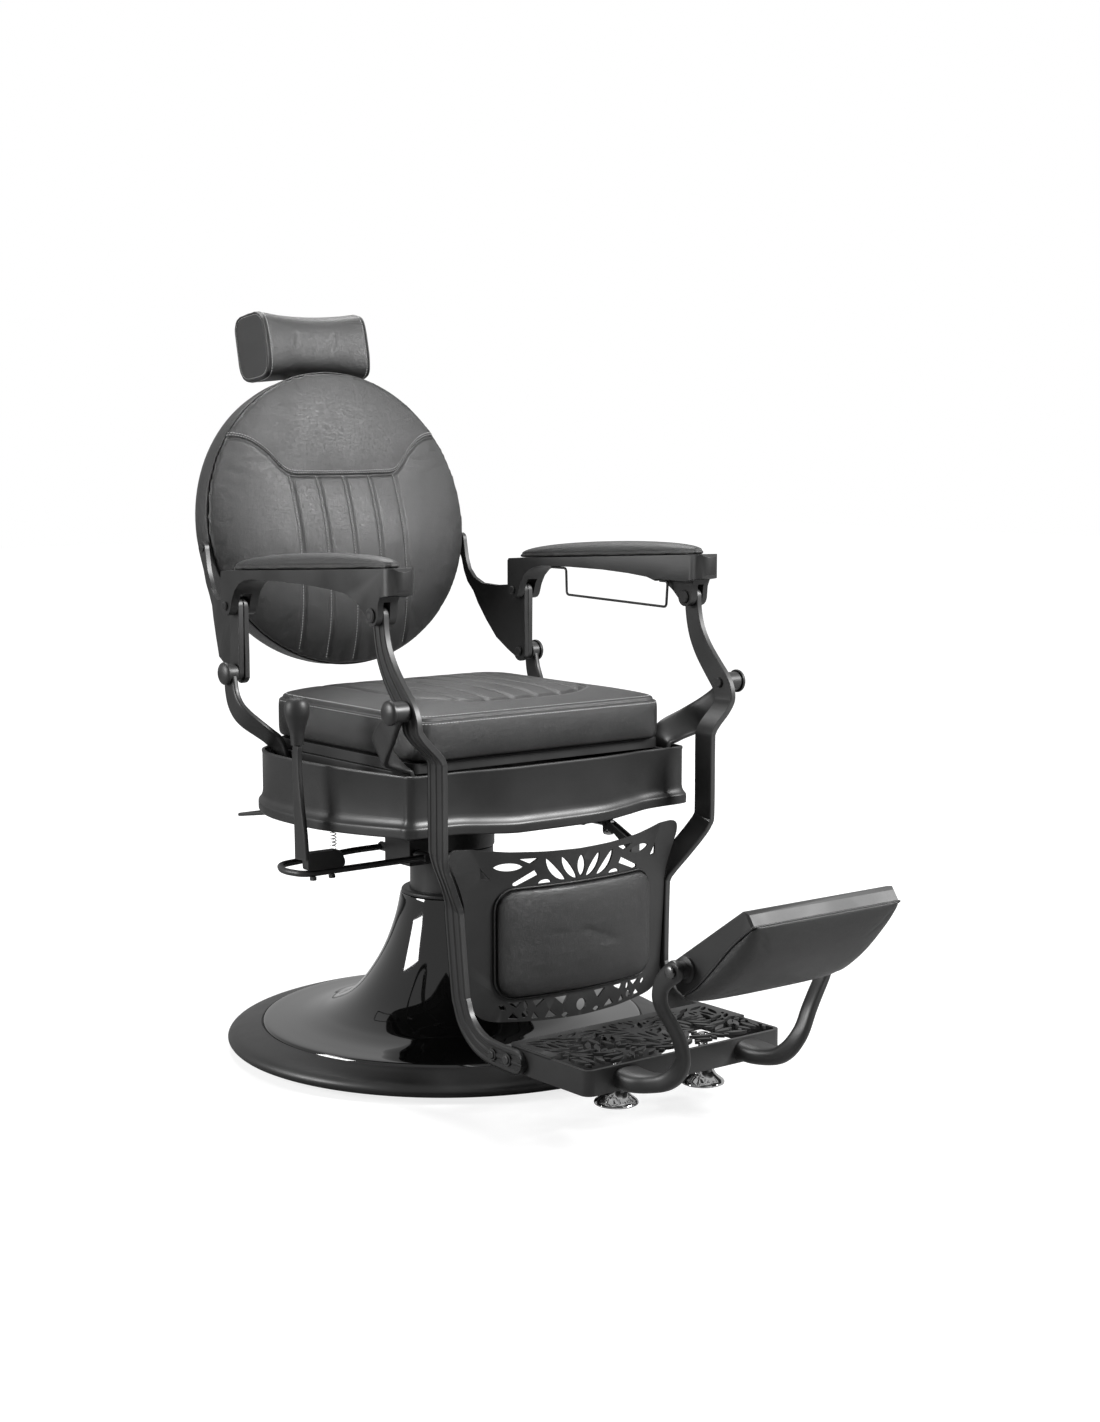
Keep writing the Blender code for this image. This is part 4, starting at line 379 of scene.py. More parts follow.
def flat_plate(edit, outline, holes, thickness, to_world):
    edges = []
    for loop in [outline] + holes:
        verts = [edit.verts.new((a, b, 0.0)) for a, b in loop]
        for i, vert in enumerate(verts):
            edges.append(edit.edges.new((vert, verts[(i + 1) % len(verts)])))
    filled = bmesh.ops.triangle_fill(edit, use_beauty=True, edges=edges, normal=(0, 0, 1))
    faces = [item for item in filled["geom"] if isinstance(item, bmesh.types.BMFace)]
    base = {vert for face in faces for vert in face.verts}
    grown = bmesh.ops.extrude_face_region(edit, geom=faces)
    top = [item for item in grown["geom"] if isinstance(item, bmesh.types.BMVert)]
    for vert in top:
        vert.co.z = thickness
    for vert in list(base) + top:
        vert.co = to_world(vert.co.x, vert.co.y, vert.co.z)
    return edit


TURNS = {
    "Z": Matrix.Identity(4),
    "X": Matrix.Rotation(math.radians(90), 4, "Y"),
    "-X": Matrix.Rotation(math.radians(-90), 4, "Y"),
    "Y": Matrix.Rotation(math.radians(-90), 4, "X"),
    "-Y": Matrix.Rotation(math.radians(90), 4, "X"),
}


def turned(edit, profile, steps=64, place=(0, 0, 0), axis="Z", hollow=False, soft=0.0, frame_of=None):
    """Spin (radius, height) points about an axis, with the profile's corners rounded by soft."""
    if soft:
        profile = [tuple(p) for p in ease([(max(r, 0.0002), h) for r, h in profile], soft, 3, loop=hollow)]
    turn = (frame_of or Matrix.Identity(4)) @ Matrix.Translation(place) @ TURNS[axis]
    rings = []
    for radius, height in profile:
        radius = max(radius, 0.0002)
        ring = []
        for i in range(steps):
            angle = 2 * math.pi * i / steps
            ring.append(turn @ Vector((radius * math.cos(angle), radius * math.sin(angle), height)))
        rings.append(ring)
    return add_rings(edit, rings, closed_ends=not hollow, loop=hollow)


def add_box(edit, low, high, frame_of=None):
    turn = frame_of or Matrix.Identity(4)
    corners = ((low[0], low[1]), (high[0], low[1]), (high[0], high[1]), (low[0], high[1]))
    return add_rings(edit, [[turn @ Vector((x, y, z)) for x, y in corners] for z in (low[2], high[2])])


def add_wire(edit, points, radius, steps=16, loop=False):
    """Sweep a round section along points; radius may be a list."""
    centres = [Vector(p) for p in points]
    count = len(centres)
    guide = Vector((0.0, 0.0, 1.0))
    rings = []
    for i, centre in enumerate(centres):
        if loop:
            tangent = (centres[(i + 1) % count] - centres[i - 1]).normalized()
        else:
            tangent = (centres[min(i + 1, count - 1)] - centres[max(i - 1, 0)]).normalized()
        guide = guide - tangent * guide.dot(tangent)
        if guide.length < 0.05:
            guide = tangent.orthogonal()
        guide.normalize()
        other = tangent.cross(guide)
        size = radius[i] if isinstance(radius, (list, tuple)) else radius
        rings.append([centre + (guide * math.cos(a) + other * math.sin(a)) * size
                      for a in (2 * math.pi * k / steps for k in range(steps))])
    return add_rings(edit, rings, loop=loop)


def add_strap(edit, side, stations, section, round_start=0.0, round_end=0.0, parts=4):
    """Sweep a section along (x, y, z, width, thickness) stations drawn for the left side."""
    path = smooth_path(stations, parts)
    centres = [Vector(p[:3]) for p in path]
    last = len(path) - 1
    rings = []

    def ring(centre, tangent, width, thickness):
        outward = (Vector((1, 0, 0)) - tangent * tangent.x).normalized()
        across = tangent.cross(outward)
        points = [centre + across * (a * width) + outward * (b * thickness) for a, b in section]
        return [Vector((side * p.x, p.y, p.z)) for p in points]

    for i, centre in enumerate(centres):
        tangent = (centres[min(i + 1, last)] - centres[max(i - 1, 0)]).normalized()
        if i == 0 and round_start:
            for angle in (86, 74, 60, 45, 30, 15):
                reach = math.radians(angle)
                rings.append(ring(centre - tangent * round_start * math.sin(reach), tangent,
                                  path[i][3] * math.cos(reach), path[i][4]))
        rings.append(ring(centre, tangent, path[i][3], path[i][4]))
        if i == last and round_end:
            for angle in (15, 30, 45, 60, 74, 86):
                reach = math.radians(angle)
                rings.append(ring(centre + tangent * round_end * math.sin(reach), tangent,
                                  path[i][3] * math.cos(reach), path[i][4]))
    return add_rings(edit, rings)


def fluted_section(ridges=(-0.38, 0.0, 0.38), half=0.1, depth=0.17):
    """Strap section with rounded edges, flat behind, and raised ribs on its outer face."""
    points = [(-0.47, -0.5), (-0.5, -0.38), (-0.5, 0.36), (-0.47, 0.5 - depth * 0.3)]
    for ridge in ridges:
        points += [(ridge - half, 0.5 - depth), (ridge - half * 0.55, 0.5 - depth * 0.15), (ridge, 0.5),
                   (ridge + half * 0.55, 0.5 - depth * 0.15), (ridge + half, 0.5 - depth)]
    points += [(0.47, 0.5 - depth * 0.3), (0.5, 0.36), (0.5, -0.38), (0.47, -0.5)]
    return points


SOFT_SECTION = [(0.5 * math.copysign(abs(math.cos(a)) ** 0.35, math.cos(a)),
                 0.5 * math.copysign(abs(math.sin(a)) ** 0.45, math.sin(a)))
                for a in (2 * math.pi * (k + 0.5) / 28 for k in range(28))]
FULL_SECTION = [(0.5 * math.copysign(abs(math.cos(a)) ** 0.7, math.cos(a)),
                 0.5 * math.copysign(abs(math.sin(a)) ** 0.7, math.sin(a)))
                for a in (2 * math.pi * (k + 0.5) / 28 for k in range(28))]
FLUTED = fluted_section()


# ---------------------------------------------------------------- cushions
def points_of(mesh, kind="co"):
    values = np.zeros(len(mesh.vertices) * 3)
    if kind == "co":
        mesh.vertices.foreach_get("co", values)
    else:
        mesh.vertex_normals.foreach_get("vector", values)
    return values.reshape(-1, 3)


def put_points(mesh, points):
    mesh.vertices.foreach_set("co", points.ravel())
    mesh.update()


def inflate(thing, voxel, cap, hold=None, pressure=4.0):
    """Remesh a closed cushion and let it swell as a filled cover does; hold(points) keeps seams in place."""
    remesh = thing.modifiers.new("even", "REMESH")
    remesh.mode = "VOXEL"
    remesh.voxel_size = voxel
    bake(thing)
    rest = points_of(thing.data)
    cloth = thing.modifiers.new("filling", "CLOTH")
    settings = cloth.settings
    settings.quality = 5
    settings.use_pressure = True
    settings.uniform_pressure_force = pressure
    settings.effector_weights.gravity = 0.0
    settings.tension_stiffness = 12.0
    settings.compression_stiffness = 12.0
    if hold is not None:
        group = thing.vertex_groups.new(name="seams")
        weights = hold(rest)
        for i in np.nonzero(weights > 0.01)[0]:
            group.add([int(i)], float(weights[i]), "REPLACE")
        settings.vertex_group_mass = "seams"
    cloth.point_cache.frame_start = 1
    cloth.point_cache.frame_end = 20
    for step in range(1, 21):
        bpy.context.scene.frame_set(step)
    graph = bpy.context.evaluated_depsgraph_get()
    swollen = points_of(thing.evaluated_get(graph).data)
    move = swollen - rest
    length = np.linalg.norm(move, axis=1, keepdims=True)
    move *= np.minimum(1.0, cap / np.maximum(length, 1e-9))
    thing.modifiers.clear()
    put_points(thing.data, rest + move)
    bpy.context.scene.frame_set(1)
    smooth = thing.modifiers.new("finer", "SUBSURF")
    smooth.levels = 1
    smooth.render_levels = 1
    bake(thing)
    thing.data.shade_smooth()
    return thing


def distance_to(points, line):
    """Distance from each point to a 3-D polyline."""
    best = np.full(len(points), 1e9)
    line = np.array([tuple(p) for p in line])
    for a, b in zip(line, line[1:]):
        along = b - a
        size = along @ along
        if size < 1e-14:
            continue
        middle = (a + b) / 2
        reach = math.sqrt(size) / 2 + 0.02
        near = np.nonzero((np.abs(points - middle) < reach).all(axis=1))[0]
        if not len(near):
            continue
        part = points[near] - a
        t = np.clip(part @ along / size, 0, 1)[:, None]
        best[near] = np.minimum(best[near], np.linalg.norm(part - t * along, axis=1))
    return best


def press(thing, lines, depth, width, power=2.0):
    """Sink seams into a cushion along lines laid on its surface."""
    points = points_of(thing.data)
    normals = points_of(thing.data, "normal")
    sink = np.zeros(len(points))
    for line in lines:
        sink = np.maximum(sink, np.exp(-(distance_to(points, line) / width) ** power))
    put_points(thing.data, points - normals * (sink * depth)[:, None])


def lay(thing, starts, direction, lift=0.0):
    """Where rays from the starts meet the cushion: a list of (point, normal)."""
    mesh = thing.data
    tree = BVHTree.FromPolygons([v.co.copy() for v in mesh.vertices],
                                [tuple(p.vertices) for p in mesh.polygons])
    found = []
    for i, start in enumerate(starts):
        way = direction[i] if isinstance(direction, list) else direction
        point, normal, _, _ = tree.ray_cast(Vector(start), Vector(way))
        if point is not None:
            found.append((point + normal * lift, normal))
    return found


def resample(path, pitch):
    """Even steps along a list of (point, normal)."""
    made = []
    left = 0.0
    for (p, n), (q, m) in zip(path, path[1:]):
        gap = (q - p).length
        while left < gap:
            t = left / max(gap, 1e-9)
            made.append((p.lerp(q, t), n.lerp(m, t).normalized(), (q - p).normalized()))
            left += pitch
        left -= gap
    return made


def stitches(name, paths, body, material=None, pitch=0.0052, length=0.0036, radius=0.00042):
    """Rows of short thread stitches, each a bent tube whose ends go down into the leather."""
    edit = bmesh.new()
    for path in paths:
        for point, normal, along in resample(path, pitch):
            side = along.cross(normal).normalized()
            rings = []
            for share, height, size in ((-0.5, -0.8, 0.6), (-0.32, 0.45, 0.95), (0.0, 0.8, 1.0),
                                        (0.32, 0.45, 0.95), (0.5, -0.8, 0.6)):
                centre = point + along * (share * length) + normal * (height * radius)
                rings.append([centre + (normal * math.cos(a) + side * math.sin(a)) * radius * size
                              for a in (2 * math.pi * k / 6 for k in range(6))])
            add_rings(edit, rings)
    return seat_piece(make_object(name, edit, material or THREAD, 60), body)


def split_lines(path, gap=0.012):
    """Cut a laid path where it jumps."""
    parts = [[path[0]]]
    for before, item in zip(path, path[1:]):
        if (item[0] - before[0]).length > gap:
            parts.append([])
        parts[-1].append(item)
    return [part for part in parts if len(part) > 1]


def welt(name, path, radius, body, material=None, loop=True, steps=10):
    """Leather piping round a seam."""
    edit = add_wire(bmesh.new(), [p for p in path], radius, steps, loop)
    return seat_piece(make_object(name, edit, material or PIPING, 70), body)


def bolt_head(edit, place, axis, radius, height, frame_of=None, socket=0.45):
    """A low round head with a hexagon socket."""
    turned(edit, ((radius, 0.0), (radius, height * 0.6), (radius * 0.82, height),
                  (radius * socket * 1.15, height)), 32, place, axis, frame_of=frame_of)
    turn = (frame_of or Matrix.Identity(4)) @ Matrix.Translation(place) @ TURNS[axis]
    rings = []
    for size, level in ((socket * 1.15, height + 0.00005), (socket, height + 0.00005),
                        (socket, height * 0.45), (0.02, height * 0.4)):
        rings.append([turn @ Vector((radius * size * math.cos(a), radius * size * math.sin(a), level))
                      for a in (math.pi * k / 3 for k in range(6))])
    add_rings(edit, rings)


# ---------------------------------------------------------------- base and column
BASE_TOP = 0.0395
COVER_RADIUS = 0.2955
COVER_TOP = 0.24
COLUMN_TOP = 0.313


def build_base():
    rim = smooth_path(((0.312, 0.0006), (0.3142, 0.0046), (0.331, 0.0063), (0.344, 0.0102),
                       (0.3498, 0.0175), (0.347, 0.025), (0.338, 0.031), (0.32, 0.0365), (0.3065, 0.0394),
                       (0.3, 0.0409)), 4)
    profile = [(0.0003, 0.0), (0.055, 0.0), (0.059, 0.0305), (0.3, 0.0305), (0.306, 0.0),
               (0.3115, 0.0)] + rim + [(0.2985, 0.0409), (0.2972, 0.04), (0.2968, 0.0385), (0.296, 0.0383),
                                       (0.295, 0.039), (0.294, BASE_TOP), (0.0003, BASE_TOP)]
    piece("base_disc_fine", turned(bmesh.new(), profile, 160), "base", SATIN, ("base_disc",), 34)

    low = BASE_TOP + GAP
    outer = smooth_path(((COVER_RADIUS - 0.0008, low + 0.0022), (0.29, 0.0443), (0.264, 0.0458),
                         (0.236, 0.0481), (0.213, 0.0525), (0.193, 0.0586), (0.167, 0.0726),
                         (0.1445, 0.0931), (0.12, 0.1275), (0.102, 0.1625), (0.088, 0.203),
                         (0.0806, 0.237)), 6)
    profile = [(COVER_RADIUS, low)] + outer + [(0.08, COVER_TOP - 0.0008), (0.079, COVER_TOP),
                                               (0.074, COVER_TOP), (0.08, 0.2), (0.1115, 0.131),
                                               (0.14, 0.09), (0.167, 0.0672), (0.198, 0.052), (0.288, low)]
    piece("base_cover_fine", turned(bmesh.new(), profile, 192, hollow=True), "base", GLOSS, ("base_cover",),
          34)

    guide = 0.0654
    collar = [(guide, COVER_TOP - 0.014), (0.0732, COVER_TOP - 0.014), (0.0732, COVER_TOP + GAP),
              (0.0785, COVER_TOP + GAP), (0.0785, COVER_TOP + 0.0045), (0.076, COVER_TOP + 0.007),
              (guide, COVER_TOP + 0.007)]
    piece("column_collar_fine", turned(bmesh.new(), collar, 96, hollow=True, soft=0.0009), "base", SATIN,
          ("column_collar",))
    dress("pump_cylinder", STEEL)

    sleeve = [(0.0003, COLUMN_TOP), (0.0637, COLUMN_TOP), (0.065, COLUMN_TOP - 0.0013), (0.065, 0.062),
              (0.0575, 0.062), (0.0575, 0.305), (0.0003, 0.305)]
    piece("lift_column_fine", turned(bmesh.new(), sleeve, 96), "column", SATIN, ("lift_column",))
    dress("piston_rod", CHROME)

    hub = [(0.0003, COLUMN_TOP + GAP), (0.067, COLUMN_TOP + GAP), (0.067, 0.36), (0.0705, 0.3695),
           (0.098, 0.38), (0.098, 0.3896), (0.0003, 0.3896)]
    piece("seat_hub_fine", turned(bmesh.new(), hub, 96, soft=0.0025), "seat", SATIN, ("seat_hub",))
    edit = bmesh.new()
    for k in range(6):
        angle = math.radians(30 + 60 * k)
        place = (0.0845 * math.cos(angle), 0.0845 * math.sin(angle), 0.3745)
        turned(edit, ((0.0058, 0.01), (0.0058, 0.0012), (0.0046, 0.0)), 6, place)
    piece("hub_bolts", edit, "seat", BOLT, smooth=20)


# ---------------------------------------------------------------- seat frame, skirt and brackets
FRAME_BOTTOM = 0.39
FRAME_HALF = 0.232
SKIRT_HALF, SKIRT_FRONT, SKIRT_REAR = 0.257, -0.258, 0.18
SKIRT_TOP, SKIRT_BOTTOM = 0.4735, 0.386
SKIRT_SIDE_BOW, SKIRT_FRONT_BOW = 0.033, 0.013


def skirt_curve():
    """The serpentine outline, smoothed, as (x, y, share of the full bow) points."""
    wide, bow, front, rear = SKIRT_HALF, SKIRT_SIDE_BOW, SKIRT_FRONT, SKIRT_REAR
    forward = front - SKIRT_FRONT_BOW
    half = ((0.0, forward, 1.0), (wide * 0.3, forward, 0.95),
            (wide * 0.5, front - SKIRT_FRONT_BOW * 0.55, 0.55), (wide * 0.68, front, 0.15),
            (wide * 0.93, front, 0.0), (wide - 0.003, front + 0.006, 0.0), (wide, front + 0.02, 0.05),
            (wide + bow * 0.3, front + 0.06, 0.3), (wide + bow * 0.62, front + 0.117, 0.65),
            (wide + bow * 0.9, front + 0.185, 0.95), (wide + bow, front + 0.255, 1.0),
            (wide + bow * 0.95, front + 0.305, 0.95), (wide + bow * 0.72, front + 0.345, 0.7),
            (wide + bow * 0.12, front + 0.385, 0.3), (wide * 0.87, rear - 0.026, 0.1),
            (wide * 0.7, rear - 0.009, 0.0), (wide * 0.4, rear, 0.0))
    full = list(half) + [(-x, y, share) for x, y, share in reversed(half) if x]
    return smooth_path(full[-2:] + full + full[:3], 5)[10:-15]


def skirt_ring(inset, z, dip):
    curve = skirt_curve()
    ring = []
    for i, (x, y, share) in enumerate(curve):
        before = curve[i - 1]
        after = curve[(i + 1) % len(curve)]
        inward = Vector((before[1] - after[1], after[0] - before[0])).normalized() * inset
        ring.append(Vector((x + inward.x, y + inward.y, z - dip * share)))
    return ring


def skirt_ledge(z):
    reach_x, reach_front, reach_rear = SKIRT_HALF - 0.032, SKIRT_FRONT + 0.032, SKIRT_REAR - 0.032
    return [Vector((min(max(x, -reach_x), reach_x), min(max(y, reach_front), reach_rear), z))
            for x, y, _ in skirt_curve()]


def build_skirt():
    low, dip, ledge = SKIRT_BOTTOM, 0.008, 0.3896
    lip = smooth_path(((-0.0062, low, 1.0), (-0.0069, low + 0.0012, 1.0), (-0.007, low + 0.005, 1.0),
                       (-0.007, low + 0.0105, 1.0), (-0.0064, low + 0.0138, 1.0),
                       (-0.0042, low + 0.0165, 0.97), (-0.0022, low + 0.0195, 0.93),
                       (-0.0007, low + 0.0235, 0.87), (0.0, low + 0.0285, 0.8)), 3)
    rings = [skirt_ring(inset, z, dip * share) for inset, z, share in lip]
    for inset, z in ((0.0, SKIRT_TOP - 0.0055), (-0.0007, SKIRT_TOP - 0.0042), (-0.001, SKIRT_TOP - 0.0022),
                     (-0.0005, SKIRT_TOP - 0.0006), (0.0007, SKIRT_TOP), (0.0032, SKIRT_TOP),
                     (0.004, SKIRT_TOP - 0.001), (0.004, ledge)):
        rings.append(skirt_ring(inset, z, 0.0))
    rings += [skirt_ledge(ledge), skirt_ledge(low), skirt_ring(0.004, low, 0.0), skirt_ring(0.0, low, dip)]
    piece("seat_skirt_fine", add_rings(bmesh.new(), rings, loop=True), "seat", SATIN, ("seat_skirt",), 38)
    refined("seat_board", BOARD, 0.001)
    refined("seat_frame", SATIN, 0.0012)
    refined("pump_head", SATIN, 0.003, segments=4)


def rear_bracket_path():
    wall = FRAME_HALF + GAP + 0.005
    middle = REAR_LINK_X + 0.005 + GAP + 0.007
    ry, rz = REAR_PIVOT
    t = METAL_THICKNESS
    return ((middle, ry, rz, 0.026, t), (middle, ry - 0.002, rz - 0.015, 0.029, t),
            (middle, ry - 0.005, rz - 0.03, 0.031, t), (middle - 0.0005, ry - 0.011, rz - 0.044, 0.033, t),
            (middle - 0.003, ry - 0.02, rz - 0.057, 0.034, t),
            (middle - 0.009, ry - 0.03, rz - 0.068, 0.034, t),
            (middle - 0.018, ry - 0.038, rz - 0.0775, 0.034, t),
            (middle - 0.028, ry - 0.044, rz - 0.0865, 0.034, t),
            (wall + 0.0125, ry - 0.05, rz - 0.097, 0.033, t),
            (wall + 0.003, ry - 0.057, rz - 0.109, 0.032, t), (wall, ry - 0.062, rz - 0.13, 0.034, t),
            (wall, ry - 0.064, rz - 0.165, 0.035, t))


def front_bracket_path():
    wall = FRAME_HALF + GAP + 0.005
    middle = STRAP_X + 0.005 + GAP + 0.0115
    fy, fz = FRONT_PIVOT
    t = METAL_THICKNESS
    return ((middle, fy, fz, 0.026, t), (middle, fy + 0.016, fz - 0.018, 0.034, t),
            (middle - 0.001, fy + 0.031, fz - 0.035, 0.042, t),
            (middle - 0.0065, fy + 0.05, fz - 0.051, 0.046, t),
            (middle - 0.018, fy + 0.068, fz - 0.065, 0.048, t),
            (wall + 0.0205, fy + 0.079, fz - 0.078, 0.048, t),
            (wall + 0.007, fy + 0.085, fz - 0.0885, 0.047, t),
            (wall + 0.0005, fy + 0.0865, fz - 0.102, 0.048, t), (wall, fy + 0.087, fz - 0.13, 0.046, t),
            (wall, fy + 0.086, 0.406, 0.05, t))


def build_brackets():
    for word, side in SIDES.items():
        axis = "X" if side > 0 else "-X"
        for kind, path, pivot, inner, length in (
            ("front", front_bracket_path(), FRONT_PIVOT, STRAP_X + 0.005 + GAP, 0.023),
            ("rear", rear_bracket_path(), REAR_PIVOT, REAR_LINK_X + 0.005 + GAP, 0.014),
        ):
            edit = add_strap(bmesh.new(), side, path, SOFT_SECTION, parts=4)
            place = (side * inner, *pivot)
            boss = [(0.006, 0.0), (0.0138, 0.0), (0.0145, 0.0008), (0.0145, length - 0.0008),
                    (0.0138, length), (0.006, length)]
            turned(edit, boss, 48, place, axis, hollow=True)
            piece(kind + "_bracket_%s_fine" % word, edit, "seat", SATIN, (kind + "_bracket_" + word,))
            start = 0.283 if kind == "front" else 0.264
            outer = inner + length + GAP
            inside = start - GAP
            cap = [(0.0003, inside - 0.004), (0.0066, inside - 0.004), (0.0075, inside - 0.0032),
                   (0.0075, inside), (0.005, inside), (0.005, outer), (0.0168, outer),
                   (0.0175, outer + 0.0008), (0.0175, outer + 0.0028)]
            cap += [(0.0175 * math.cos(a), outer + 0.0028 + 0.0067 * math.sin(a))
                    for a in (math.radians(9 * k) for k in range(1, 10))]
            piece(kind + "_pivot_bolt_%s_fine" % word, turned(bmesh.new(), cap, 48, (0.0, *pivot), axis),
                  "seat", SATIN, (kind + "_pivot_bolt_" + word,))


# ---------------------------------------------------------------- lever, release handle and gas spring
def build_lever():
    x, z = -0.11, 0.318
    near, far = -0.088, 0.026
    outer = -0.334
    route = ((x - 0.002, far, z), (-0.165, far, z), (outer + 0.02, far - 0.03, z), (outer, -0.045, z),
             (outer + 0.01, near, z), (x - 0.002, near, z))
    edit = add_wire(bmesh.new(), ease(route, 0.018, 8), 0.0048, 20)
    turned(edit, ((0.0003, near - 0.007), (0.007, near - 0.007), (0.007, far + 0.007),
                  (0.0003, far + 0.007)), 40, (x, 0.0, z), "Y", soft=0.0008)
    piece("pump_loop_fine", edit, "pump_lever", SATIN, ("pump_loop",))

    low = z + 0.0048 + GAP
    inner = -0.326 + 0.004 + GAP
    outline = ease(((inner, low), (inner + 0.0615, low), (inner + 0.064, low + 0.008),
                    (inner + 0.056, low + 0.026), (inner, low + 0.026)), 0.006, 4, loop=True)
    edit = flat_plate(bmesh.new(), [tuple(p) for p in outline], [], 0.016,
                      lambda a, b, d: Vector((a, near - 0.008 + d, b)))
    piece("lever_clamp_fine", edit, "pump_lever", SATIN, ("lever_clamp",), bevel=0.0012)
    edit = bmesh.new()
    for place in (inner + 0.013, inner + 0.045):
        turned(edit, ((0.0036, 0.0), (0.0036, -0.0035), (0.003, -0.0045)), 24, (place, near, low - 0.0098))
        turned(edit, ((0.0056, low - 0.0108), (0.0056, low - 0.0148), (0.0045, low - 0.0156)), 6,
               (place, near, 0.0))
    piece("clamp_bolts", edit, "pump_lever", BOLT, smooth=20)

    bar_y = near + 0.01
    bar = ((0.326, bar_y, 0.5045, 0.0165, 0.008), (0.326, bar_y + 0.0015, 0.474, 0.0175, 0.008),
           (0.326, bar_y - 0.002, 0.425, 0.0215, 0.008), (0.326, bar_y - 0.007, 0.375, 0.029, 0.008),
           (0.326, bar_y - 0.009, 0.34, 0.032, 0.008))
    piece("side_lever_fine", add_strap(bmesh.new(), -1.0, bar, SOFT_SECTION, parts=6), "pump_lever", SATIN,
          ("side_lever",))
    knob = smooth_path(((0.0092, 0.5056), (0.0098, 0.516), (0.0112, 0.527), (0.015, 0.54), (0.0181, 0.552),
                        (0.0172, 0.564), (0.0118, 0.5722), (0.0003, 0.575)), 6)
    piece("lever_knob_fine", turned(bmesh.new(), [(0.0003, 0.5055)] + knob, 48, (-0.326, bar_y, 0.0)),
          "pump_lever", RUBBER, ("lever_knob",))

    top = FRAME_BOTTOM - GAP
    turns = 11
    coil = []
    for i in range(turns * 18 + 1):
        angle = 2 * math.pi * i / 18
        coil.append((-0.205 + 0.0047 * math.cos(angle), far - 0.006 + 0.0047 * math.sin(angle),
                     low + 0.006 + (top - low - 0.012) * i / (turns * 18)))
    coil = [(-0.2003, far - 0.006, low + 0.0005)] + coil + [(-0.2003, far - 0.006, top - 0.0008)]
    piece("return_spring_coil", add_wire(bmesh.new(), coil, 0.0008, 8), "pump_lever", CHROME,
          ("return_spring",), 60)

    y, z = 0.105, 0.374
    low = z - 0.021
    ring = ease(((-0.24, y, z), (-0.186, y, z), (-0.178, 0.236, low), (-0.244, 0.236, low)), 0.011, 8,
                loop=True)
    piece("release_handle_fine", add_wire(bmesh.new(), ring, 0.0028, 14, loop=True), "release_handle",
          SATIN, ("release_handle",))
    dress("gas_spring_cylinder", STEEL)
    dress("gas_spring_rod", CHROME)


# ---------------------------------------------------------------- back and headrest
BACK = Matrix.Translation((0.0, 0.308, 0.803)) @ Matrix.Rotation(-math.radians(7.6), 4, "X")
BACK_HALF, BACK_UP, BACK_DOWN = 0.246, 0.246, 0.2335
BACK_RIM = 0.004
SHELL_DEPTH = 0.058
BACK_BOLT = (0.3145, 0.768)
YOKE = ((0.0, 0.0735), (0.06, 0.0742), (0.097, 0.076), (0.115, 0.087), (0.136, 0.11), (0.163, 0.13),
        (0.19, 0.138), (0.2105, 0.1365), (0.231, 0.13))
CHANNELS = (-0.1, -0.05, 0.0, 0.05, 0.1)


def back_oval(inset, depth, steps=120):
    ring = []
    for i in range(steps):
        angle = 2 * math.pi * i / steps
        reach = BACK_UP if math.sin(angle) > 0 else BACK_DOWN
        ring.append(BACK @ Vector(((BACK_HALF - inset) * math.cos(angle), depth,
                                   (reach - inset) * math.sin(angle))))
    return ring


def back_face(inset, depth, steps=120):
    """A ring of the cushion, which swells forward below its yoke and thins out above it."""
    inverse = BACK.inverted()
    ring = []
    for point in back_oval(inset, depth, steps):
        local = inverse @ point
        share = min(max((local.z + 0.05) / 0.15, 0.0), 1.0)
        local.y -= min(local.y, 0.0) * 0.5 * share * share * (3 - 2 * share)
        ring.append(BACK @ local)
    return ring


def on_back(thing, points, lift=0.0):
    """Lay (x, up) points on the front of the back."""
    starts = [BACK @ Vector((x, -0.2, u)) for x, u in points]
    return lay(thing, starts, BACK.to_3x3() @ Vector((0, 1, 0)), lift)


def yoke_line(drop=0.0):
    full = [(-x, u) for x, u in reversed(YOKE[1:])] + list(YOKE)
    return [(x, u - drop) for x, u in smooth_path(full, 8)]


